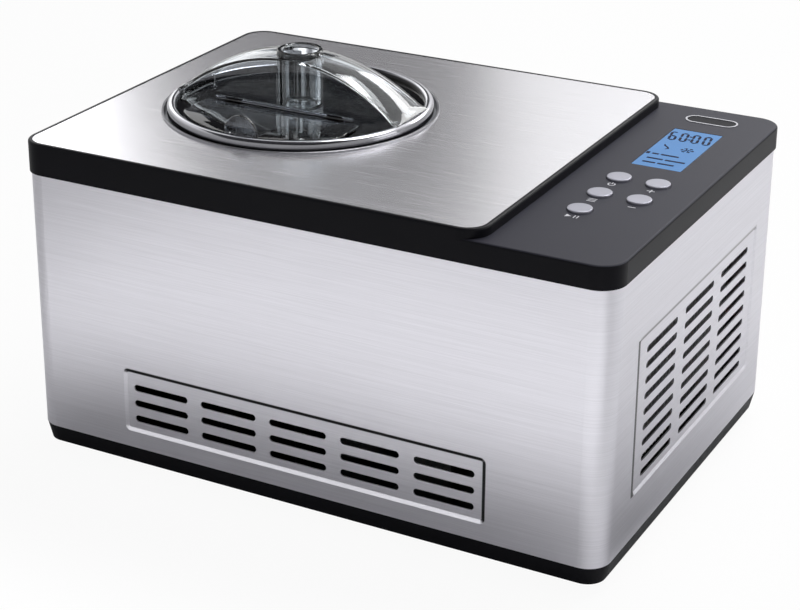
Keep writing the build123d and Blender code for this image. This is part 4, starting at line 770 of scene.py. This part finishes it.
class MAKER_OT_lid(bpy.types.Operator):
    """Casts the clear handle and flap and the smoked window of the lid"""

    bl_idname = "maker.lid"
    bl_label = "Lid"

    def execute(self, context):
        colours = context.scene.maker_colours
        sizes = context.scene.maker_sizes
        clear = clear_plastic("handle_clear", colours.clear, 0.02)
        put_on(clear, "lid_handle")
        put_on(clear_plastic("window_smoked", colours.smoke, 0.02), "lid_disc")
        tinted = clear_plastic("flap_tinted", colours.flap, 0.02)
        put_on(tinted, "filler_flap")
        put_on(mottled("seal_silicone", from_screen(196, 198, 200), 0.6, depth=0.00001), "lid_seal")
        put_on(mottled("pin_polished", from_screen(186, 187, 192), 0.25, 1.0), "flap_pin")
        self.cast_handle(sizes, clear)
        self.cast_flap(sizes, tinted)
        return {"FINISHED"}

    def cast_flap(self, sizes, tinted):
        """The flap's plate, its hinge barrel and its finger tab as one casting."""
        low, high = box_of("filler_flap")
        pin_low, pin_high = box_of("flap_pin")
        axis = middle_of("lid_rim")[:2]
        pin = float(pin_low[2] + pin_high[2]) / 2
        base = pin - sizes.flap_base
        radius = float(axis[1] - low[1])
        plate = closed_mesh("flap_plate", *flap_plate(sizes, axis, radius, base))
        pin_radius = float(pin_high[2] - pin_low[2]) / 2
        knuckle = float(high[1]) - float(axis[1]) + sizes.flap_hinge
        barrel = closed_mesh("flap_barrel", *flap_barrel(sizes, axis, pin, pin_radius, knuckle))
        tab = closed_mesh("flap_tab", *flap_tab(sizes, axis, radius, base))
        whole = combined(combined(plate, barrel, "UNION"), tab, "UNION")
        piece = add_mesh("clear_flap", whole, tinted, "flap")
        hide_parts("filler_flap")

    def cast_handle(self, sizes, clear):
        """The arch and its post as one casting: post joined on, then the cup taken out."""
        low, high = box_of("lid_handle")
        axis = middle_of("lid_rim")[:2]
        rim_top = top_of("lid_rim")
        arch = closed_mesh("handle_arch", *handle_arch(sizes, axis, low, high, rim_top))
        post = closed_mesh("handle_post", *handle_post(sizes, axis, low, high))
        cup = closed_mesh("handle_cup", *handle_cup(sizes, axis, high))
        whole = combined(combined(arch, post, "UNION"), cup, "DIFFERENCE")
        piece = add_mesh("clear_handle", whole, clear, "lid")
        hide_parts("lid_handle")


def digit_marks(corner, sizes):
    """Seven-segment digits, each segment a bar that tapers to a point at both ends, and a colon."""
    wide = sizes.digit_width
    tall = sizes.digit_height
    half = sizes.segment_width / 2
    lean = -0.16 * tall
    base = corner + np.array([0.0, -0.0230])
    colon = 0.0181
    end_gap = 0.05
    point = 0.15
    ends = {
        "top": ((0, 1), (1, 1)), "middle": ((0, 0.5), (1, 0.5)), "bottom": ((0, 0), (1, 0)),
        "upper left": ((0, 0.5), (0, 1)), "upper right": ((1, 0.5), (1, 1)),
        "lower left": ((0, 0), (0, 0.5)), "lower right": ((1, 0), (1, 0.5)),
    }
    six = ("top", "middle", "bottom", "upper left", "lower left", "lower right")
    nought = ("top", "bottom", "upper left", "upper right", "lower left", "lower right")
    marks = []
    for left, lit in ((0.0043, six), (0.0119, nought), (0.0202, nought), (0.0282, nought)):
        for name in lit:
            ratio = np.array(ends[name], float)
            across = left + ratio[:, 0] * wide + ratio[:, 1] * lean
            line = np.stack([across, ratio[:, 1] * tall], axis=1) + base
            run = line[1] - line[0]
            share = np.array([end_gap, end_gap + half / np.linalg.norm(run) * 1.2])
            share = np.concatenate([share, 1.0 - share[::-1]])[:, None]
            marks.append((line[0] + run * share, half * np.array([point, 1.0, 1.0, point])))
    for rise in (0.3, 0.7):
        spot = base + np.array([colon + rise * lean, rise * tall])
        marks.append((np.array([spot - [0, half], spot + [0, half]]), half))
    return marks


def picture_marks(corner):
    """A bent paddle mark and a six-armed snow crystal."""
    hook = np.array([
        [0.0062, -0.0338], [0.0072, -0.0362], [0.0100, -0.0388], [0.0112, -0.0412], [0.0096, -0.0428],
    ])
    hook_halves = [0.0004, 0.0007, 0.0007, 0.0006, 0.0003]
    marks = [(hook + corner, hook_halves)]
    heart = corner + np.array([0.0238, -0.0390])
    arm_start, arm_end, arm_half = 0.0006, 0.0046, 0.00034
    fork_at, barb_reach, barb_half = 0.0028, 0.0012, 0.00028
    for turn in np.radians(np.arange(0, 360, 60)):
        arm = np.array([np.cos(turn), np.sin(turn)])
        side = np.array([-arm[1], arm[0]])
        marks.append((np.array([heart + arm * arm_start, heart + arm * arm_end]), arm_half))
        fork = heart + arm * fork_at
        left, right = (arm * barb_reach + side * barb_reach * way for way in (1.0, -1.0))
        marks.append((np.array([fork + left, fork, fork + right]), barb_half))
    return marks


def bar_marks(corner):
    """A square and three rows of plain bars."""
    square = np.array([[0.0010, -0.0540], [0.0034, -0.0540]])
    square_half = 0.0019
    bar_half = 0.0011
    rows = (
        (-0.0542, ((0.0052, 0.0098), (0.0114, 0.0236))),
        (-0.0632, ((0.0050, 0.0160), (0.0176, 0.0312))),
        (-0.0712, ((0.0050, 0.0138), (0.0154, 0.0266))),
    )
    marks = [(corner + square, square_half)]
    for drop, spans in rows:
        for first, last in spans:
            marks.append((corner + np.array([[first, drop], [last, drop]]), bar_half))
    return marks


class MAKER_OT_display(bpy.types.Operator):
    """Lights the blue display and sets its digits, marks and bars"""

    bl_idname = "maker.display"
    bl_label = "Display"

    def execute(self, context):
        colours = context.scene.maker_colours
        sizes = context.scene.maker_sizes
        low, high = box_of("display_window")
        hidden = np.array([sizes.window_hidden, sizes.window_hidden, 0.0])
        low = low + hidden
        high = high - hidden
        self.light_window(colours, low, high)
        corner = np.array([low[0], high[1]])
        ink = new_finish("display_segment")
        cells = ink.noise(4000.0, 1.0)
        ink.skin(
            base_color=ink.tones(cells, colours.segment, 0.15),
            roughness=0.5,
            specular_ior_level=0.05,
        )
        marks = digit_marks(corner, sizes) + picture_marks(corner) + bar_marks(corner)
        add_marks("display_marks", marks, float(high[2]), sizes.ink, ink.holder)
        put_on(mottled("display_backing", from_screen(210, 214, 218), 0.5), "display_module")
        return {"FINISHED"}

    def light_window(self, colours, low, high):
        """Lit glass: brighter in the middle, with a fine cell pattern and a dark line round its edge."""
        centre = (low + high) / 2
        half = (high - low) / 2
        finish = new_finish("display_lit")
        x, y, _ = finish.axes()
        across = abs(x - float(centre[0]))
        along = abs(y - float(centre[1]))
        line = 0.0007
        inner = (across < float(half[0]) - line) * (along < float(half[1]) - line)
        cells = finish.noise(2500.0, 1.0)
        clouds = finish.noise(60.0, 2.0)
        glow = clouds * 0.7 + cells * 0.3
        lit = finish.tones(glow, colours.lit, 0.1)
        tone = finish.blend(inner, shaded(colours.lit, 0.16), lit)
        finish.skin(
            base_color=tone,
            emission_color=tone,
            emission_strength=0.12,
            roughness=cells * 0.05 + 0.16,
            specular_ior_level=0.15,
        )
        put_on(finish.holder, "display_window")


def key_marks(key, half, line):
    """Strokes of a key's sign: ring and bar, list, triangle with two bars, plus or minus."""
    if key == "power_button":
        ring = arc((0.0, 0.0), half * 0.85, 125.0, 415.0)
        return [(ring, line), (np.array([[0.0, half * 0.2], [0.0, half * 1.15]]), line)]
    if key == "menu_button":
        rows = np.array([-0.8, 0.0, 0.8]) * half
        return [(np.array([[-half * 1.1, row], [half * 1.1, row]]), line) for row in rows]
    if key == "start_button":
        arrow = np.array([[-half * 1.5, 0.0], [-half * 0.1, 0.0]])
        places = (half * 0.7, half * 1.5)
        bars = [(np.array([[x, -half * 0.8], [x, half * 0.8]]), line) for x in places]
        return [(arrow, [half * 0.85, half * 0.03])] + bars
    level = (np.array([[-half, 0.0], [half, 0.0]]), line)
    if key == "time_down_button":
        return [level]
    upper = np.array([[0.0, line], [0.0, half]])
    lower = np.array([[0.0, -half], [0.0, -line]])
    return [level, (upper, line), (lower, line)]


class MAKER_OT_keys(bpy.types.Operator):
    """Finishes the round keys and prints a symbol in front of each"""

    bl_idname = "maker.keys"
    bl_label = "Keys and symbols"

    def execute(self, context):
        colours = context.scene.maker_colours
        sizes = context.scene.maker_sizes
        finish = new_finish("key_silver")
        fleck = finish.noise(5200.0, 2.0, 0.6)
        clouds = finish.noise(80.0, 2.0)
        shine = fleck * 0.6 + clouds * 0.4
        finish.skin(
            base_color=finish.blend(shine, shaded(colours.key, 0.88), shaded(colours.key, 1.08)),
            metallic=0.55,
            roughness=fleck * 0.12 + 0.3,
            coat_weight=0.3,
            coat_roughness=0.1,
        )
        keys = ("power_button", "menu_button", "start_button", "time_up_button", "time_down_button")
        put_on(finish.holder, *keys)
        clearance = 0.0001
        base = top_of("display_window") + clearance
        marks = []
        for key in keys:
            spot = middle_of(key)[:2] + np.array([0.0, -sizes.symbol_drop])
            strokes = key_marks(key, sizes.symbol, sizes.symbol_line / 2)
            marks += [(line + spot, width) for line, width in strokes]
        ink = mottled("print_pale", colours.print, 0.5, grain=4000.0)
        add_marks("key_symbols", marks, base, sizes.ink, ink)
        return {"FINISHED"}


class MAKER_OT_badge(bpy.types.Operator):
    """Finishes the bare badge with its bright border"""

    bl_idname = "maker.badge"
    bl_label = "Badge"

    def execute(self, context):
        colours = context.scene.maker_colours
        border_height = 0.00012
        finish = new_finish("badge_bordered")
        border = finish.axes()[2] > top_of("badge_plate") - border_height
        fine = finish.noise(2400.0, 2.0)
        face = finish.tones(fine, colours.badge, 0.15)
        finish.skin(
            base_color=finish.blend(border, face, shaded(colours.chrome, 0.7)),
            metallic=border * 0.9,
            roughness=fine * 0.1 + 0.42,
            specular_ior_level=0.06,
        )
        put_on(finish.holder, "badge_plate")
        return {"FINISHED"}


class MAKER_OT_bowl(bpy.types.Operator):
    """Finishes the bowl, the paddle and the well that they sit in"""

    bl_idname = "maker.bowl"
    bl_label = "Bowl and paddle"

    def execute(self, context):
        bowl = brushed("bowl_anodised", from_screen(176, 178, 182), (0.2, 0.2, 12.0), 0.38, 0.0, 0.14)
        put_on(bowl, "bowl", "cooling_well")
        put_on(mottled("paddle_nylon", from_screen(206, 208, 206), 0.45, spread=0.05), "paddle")
        return {"FINISHED"}


class MAKER_OT_cooling(bpy.types.Operator):
    """Finishes the cooling circuit, its fan and the foam"""

    bl_idname = "maker.cooling"
    bl_label = "Cooling circuit"

    def execute(self, context):
        put_on_plain((
            ("copper_drawn", (198, 128, 92), 0.32, 1.0, {"spread": 0.2},
             ("evaporator_tube", "condenser_tube", "capillary_tube", "filter_drier")),
            ("compressor_paint", (34, 34, 36), 0.4, 0.0, {"grain": 1400.0},
             ("compressor_lower_shell", "compressor_upper_shell", "terminal_cover")),
            ("pump_iron", (92, 92, 94), 0.55, 0.8, {}, ("compressor_pump",)),
            ("aluminium_bare", (200, 202, 204), 0.38, 1.0, {"spread": 0.06}, ("condenser_fins",)),
            ("zinc_plated", (186, 188, 184), 0.4, 1.0, {"grain": 400.0},
             ("compressor_foot_plate", "condenser_bracket", "compressor_bolts")),
            ("grommet_rubber", (30, 30, 31), 0.8, 0.0, {}, ("compressor_grommets",)),
            ("fan_moulded", (26, 26, 28), 0.45, 0.0, {}, ("fan_frame", "fan_rotor")),
            ("foam_sprayed", (216, 196, 150), 0.9, 0.0, {"grain": 500.0, "depth": 0.0004},
             ("foam_jacket",)),
        ))
        return {"FINISHED"}


class MAKER_OT_drive(bpy.types.Operator):
    """Finishes the mixing motor, its gears and the gearbox"""

    bl_idname = "maker.drive"
    bl_label = "Mixing drive"

    def execute(self, context):
        put_on_plain((
            ("steel_ground", (196, 198, 202), 0.25, 1.0, {"spread": 0.06},
             ("drive_shaft", "idler_pin", "motor_pinion", "motor_rotor")),
            ("gear_nylon", (226, 224, 214), 0.45, 0.0, {"spread": 0.04}, ("drive_gear", "idler_gear")),
            ("bush_bronze", (186, 142, 84), 0.35, 1.0, {}, ("shaft_bush",)),
            ("shaft_seal_rubber", (32, 32, 33), 0.7, 0.0, {}, ("shaft_seal",)),
            ("gearbox_moulded", (96, 98, 102), 0.5, 0.0, {"grain": 1500.0},
             ("gearbox_housing", "gearbox_cover")),
            ("motor_plated", (182, 184, 186), 0.35, 1.0, {"grain": 300.0}, ("motor_can",)),
            ("stator_iron", (84, 84, 88), 0.5, 0.7, {}, ("motor_stator",)),
            ("screw_zinc", (188, 188, 186), 0.35, 1.0, {},
             ("gearbox_screws", "motor_screws", "rear_screws", "well_screws", "board_screws")),
        ))
        return {"FINISHED"}


class MAKER_OT_boards(bpy.types.Operator):
    """Finishes the control board and the power board"""

    bl_idname = "maker.boards"
    bl_label = "Boards"

    def execute(self, context):
        boards = mottled("board_lacquered", from_screen(34, 38, 38), 0.45, grain=2500.0)
        put_on(boards, "control_board", "power_board")
        return {"FINISHED"}


class MAKER_OT_stage(bpy.types.Operator):
    """Sets the white floor, the studio light and the camera"""

    bl_idname = "maker.stage"
    bl_label = "Stage"

    def execute(self, context):
        settings = context.scene.maker_stage
        context.scene.view_settings.view_transform = "Standard"
        self.set_floor()
        self.set_world(context, settings)
        self.set_cards()
        self.set_lights(settings)
        self.set_camera(context, settings)
        return {"FINISHED"}

    def seen(self, finish, direct, off_gloss):
        """How far a surface reads as plain white: one share straight or through glass, one off gloss."""
        path = finish.node("ShaderNodeLightPath").socket.node
        names = ("Is Camera Ray", "Is Glossy Ray", "Is Transmission Ray")
        straight, gloss, through = (Link(finish, path.outputs[name]) for name in names)
        return straight.math("MINIMUM", (straight + through) * direct + gloss * off_gloss, 1.0)

    def mix(self, finish, share, first, second, output="ShaderNodeOutputMaterial"):
        """Two shaders mixed by a share and joined to an output."""
        mixed = finish.node("ShaderNodeMixShader", inputs={0: share, 1: first, 2: second})
        finish.node(output, inputs={"Surface": mixed})

    def add_sheet(self, name, corners, finish):
        """A four-cornered sheet with its finish, linked into the scene."""
        mesh = bpy.data.meshes.new(name)
        mesh.from_pydata(corners, [], [(0, 1, 2, 3)])
        mesh.materials.append(finish)
        piece = bpy.data.objects.new(name, mesh)
        bpy.context.scene.collection.objects.link(piece)
        return piece

    def add_card(self, name, corners, finish):
        """A sheet of the studio that only gloss sees."""
        card = self.add_sheet(name, corners, finish)
        card.visible_camera = False
        card.visible_diffuse = False
        card.visible_shadow = False

    def level(self, left, right, front, back, height):
        """Corners of a level sheet."""
        return [(left, front, height), (right, front, height), (right, back, height), (left, back, height)]

    def set_floor(self):
        """A wide pale floor that reads as white and keeps the machine's soft shadow."""
        reach = 9.0
        finish = new_finish("floor_white")
        dust = finish.noise(3.0, 3.0)
        pale = finish.blend(dust, (0.86, 0.86, 0.86), (0.9, 0.9, 0.9))
        matt = finish.node("ShaderNodeBsdfDiffuse", inputs={"Color": pale})
        glow = finish.node("ShaderNodeEmission", inputs={"Color": WHITE})
        self.mix(finish, self.seen(finish, 0.94, 0.06), matt, glow)
        self.add_sheet("floor", self.level(-reach, reach, -reach, reach, 0.0), finish.holder)

    def set_world(self, context, settings):
        """White where it is seen, an even fill where it lights."""
        world = bpy.data.worlds.new("studio")
        context.scene.world = world
        finish = Finish(world)
        seen = self.seen(finish, 1.0, 1.0)
        fill, white = (
            finish.node("ShaderNodeBackground", inputs={"Color": WHITE, "Strength": strength})
            for strength in (settings.fill, 1.0)
        )
        self.mix(finish, seen, fill, white, "ShaderNodeOutputWorld")

    def set_cards(self):
        """Dark cards behind and above the machine that only gloss sees, so that the lid reads dark."""
        finish = new_finish("card_dark")
        weave = finish.noise(20.0, 2.0)
        tone = finish.blend(weave, (0.04, 0.04, 0.045), (0.06, 0.06, 0.065))
        dark = finish.node("ShaderNodeEmission", inputs={"Color": tone})
        finish.node("ShaderNodeOutputMaterial", inputs={"Surface": dark})
        upright = [(-1.72, 2.0, 0.62), (-0.88, 2.0, 0.62), (-0.88, 2.0, 1.5), (-1.72, 2.0, 1.5)]
        self.add_card("card_back", upright, finish.holder)
        self.add_card("card_above", self.level(-2.2, 2.2, -2.6, 1.3, 2.4), finish.holder)
        self.set_floor_card()

    def set_floor_card(self):
        """A dark card that fades out over the floor beside the machine: a painted shadow that only gloss
        sees, so that the side darkens down in its reflection.
        """
        finish = new_finish("card_painted_floor_shadow")
        x, y, _ = finish.axes()
        outward = finish.ramp(x, 0.38, 0.23)
        front = finish.ramp(y, -0.16, -0.09)
        back = finish.ramp(y, 0.32, -0.05)
        clear = finish.node("ShaderNodeBsdfTransparent")
        dark = finish.node("ShaderNodeEmission", inputs={"Color": (0.05, 0.05, 0.055, 1.0)})
        self.mix(finish, outward * front * back * 0.75, clear, dark)
        self.add_card("card_floor", self.level(0.222, 0.4, -0.2, 0.4, 0.002), finish.holder)

    def set_lights(self, settings):
        """Soft boxes: overhead, a strip behind, one to each side and a narrow one over the floor in front.

        A row each: name, place, aim, width, height, spread and share of the key's power.
        """
        open_wide = math.pi
        narrow = math.radians(34.0)
        boxes = (
            ("overhead", (0.3, 0.75, 1.75), (0.0, -0.1, 0.1), 1.2, 0.6, open_wide, 1.0),
            ("strip", (0.2, 1.9, 1.3), (-0.05, 0.0, 0.24), 1.2, 0.4, open_wide, 0.42),
            ("left", (-1.9, 1.7, 1.1), (-0.1, 0.0, 0.2), 1.0, 0.9, open_wide, 0.16),
            ("right", (1.5, 0.5, 0.8), (0.15, 0.0, 0.12), 0.8, 0.8, open_wide, 0.27),
            ("front", (0.075, -0.54, 0.36), (0.075, -0.52, 0.0), 1.0, 0.45, narrow, 0.044),
        )
        for name, place, aim, wide, tall, spread, share in boxes:
            lamp = bpy.data.lights.new(name, "AREA")
            lamp.shape = "RECTANGLE"
            lamp.size = wide
            lamp.size_y = tall
            lamp.spread = spread
            lamp.energy = settings.key_power * share
            box = bpy.data.objects.new(name, lamp)
            way = np.array(aim) - np.array(place)
            way = way / np.linalg.norm(way)
            box.location = place
            box.rotation_euler = (math.acos(-way[2]), 0.0, math.atan2(way[1], way[0]) - math.pi / 2)
            bpy.context.scene.collection.objects.link(box)

    def set_camera(self, context, settings):
        """A camera that looks down on the front and the right side."""
        lens = bpy.data.cameras.new("camera")
        lens.sensor_fit = "HORIZONTAL"
        lens.sensor_width = 36.0
        lens.lens = settings.lens
        lens.shift_x = 0.0451
        lens.shift_y = -0.0735
        lens.clip_start = 0.05
        camera = bpy.data.objects.new("camera", lens)
        camera.location = settings.camera_place
        camera.rotation_euler = (math.pi / 2 - settings.elevation, 0.0, settings.azimuth)
        context.scene.collection.objects.link(camera)
        context.scene.camera = camera


STEPS = (
    MAKER_OT_cabinet,
    MAKER_OT_frame,
    MAKER_OT_rings,
    MAKER_OT_lid,
    MAKER_OT_display,
    MAKER_OT_keys,
    MAKER_OT_badge,
    MAKER_OT_bowl,
    MAKER_OT_cooling,
    MAKER_OT_drive,
    MAKER_OT_boards,
    MAKER_OT_stage,
)


class MAKER_PT_looks(bpy.types.Panel):
    """Lists the steps and the settings"""

    bl_idname = "MAKER_PT_looks"
    bl_label = "Ice Cream Maker"
    bl_space_type = "VIEW_3D"
    bl_region_type = "UI"
    bl_category = "Ice Cream Maker"

    def draw(self, context):
        layout = self.layout
        for step in STEPS:
            layout.operator(step.bl_idname)
        for settings in (context.scene.maker_colours, context.scene.maker_sizes, context.scene.maker_stage):
            box = layout.box()
            for name in settings.__annotations__:
                box.prop(settings, name, text=name.replace("_", " ").capitalize())


GROUPS = (MakerColours, MakerSizes, MakerStage)
CLASSES = (*GROUPS, *STEPS, MAKER_PT_looks)


def register():
    """Adds the classes and hangs the settings on the scene."""
    for part in CLASSES:
        bpy.utils.register_class(part)
    bpy.types.Scene.maker_colours = bpy.props.PointerProperty(type=MakerColours)
    bpy.types.Scene.maker_sizes = bpy.props.PointerProperty(type=MakerSizes)
    bpy.types.Scene.maker_stage = bpy.props.PointerProperty(type=MakerStage)


def unregister():
    """Takes the settings and the classes away again."""
    del bpy.types.Scene.maker_stage
    del bpy.types.Scene.maker_sizes
    del bpy.types.Scene.maker_colours
    for part in reversed(CLASSES):
        bpy.utils.unregister_class(part)


def main():
    """Registers the add-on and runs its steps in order."""
    register()
    for step in STEPS:
        group, name = step.bl_idname.split(".")
        getattr(getattr(bpy.ops, group), name)()


if __name__ == "__main__":
    main()
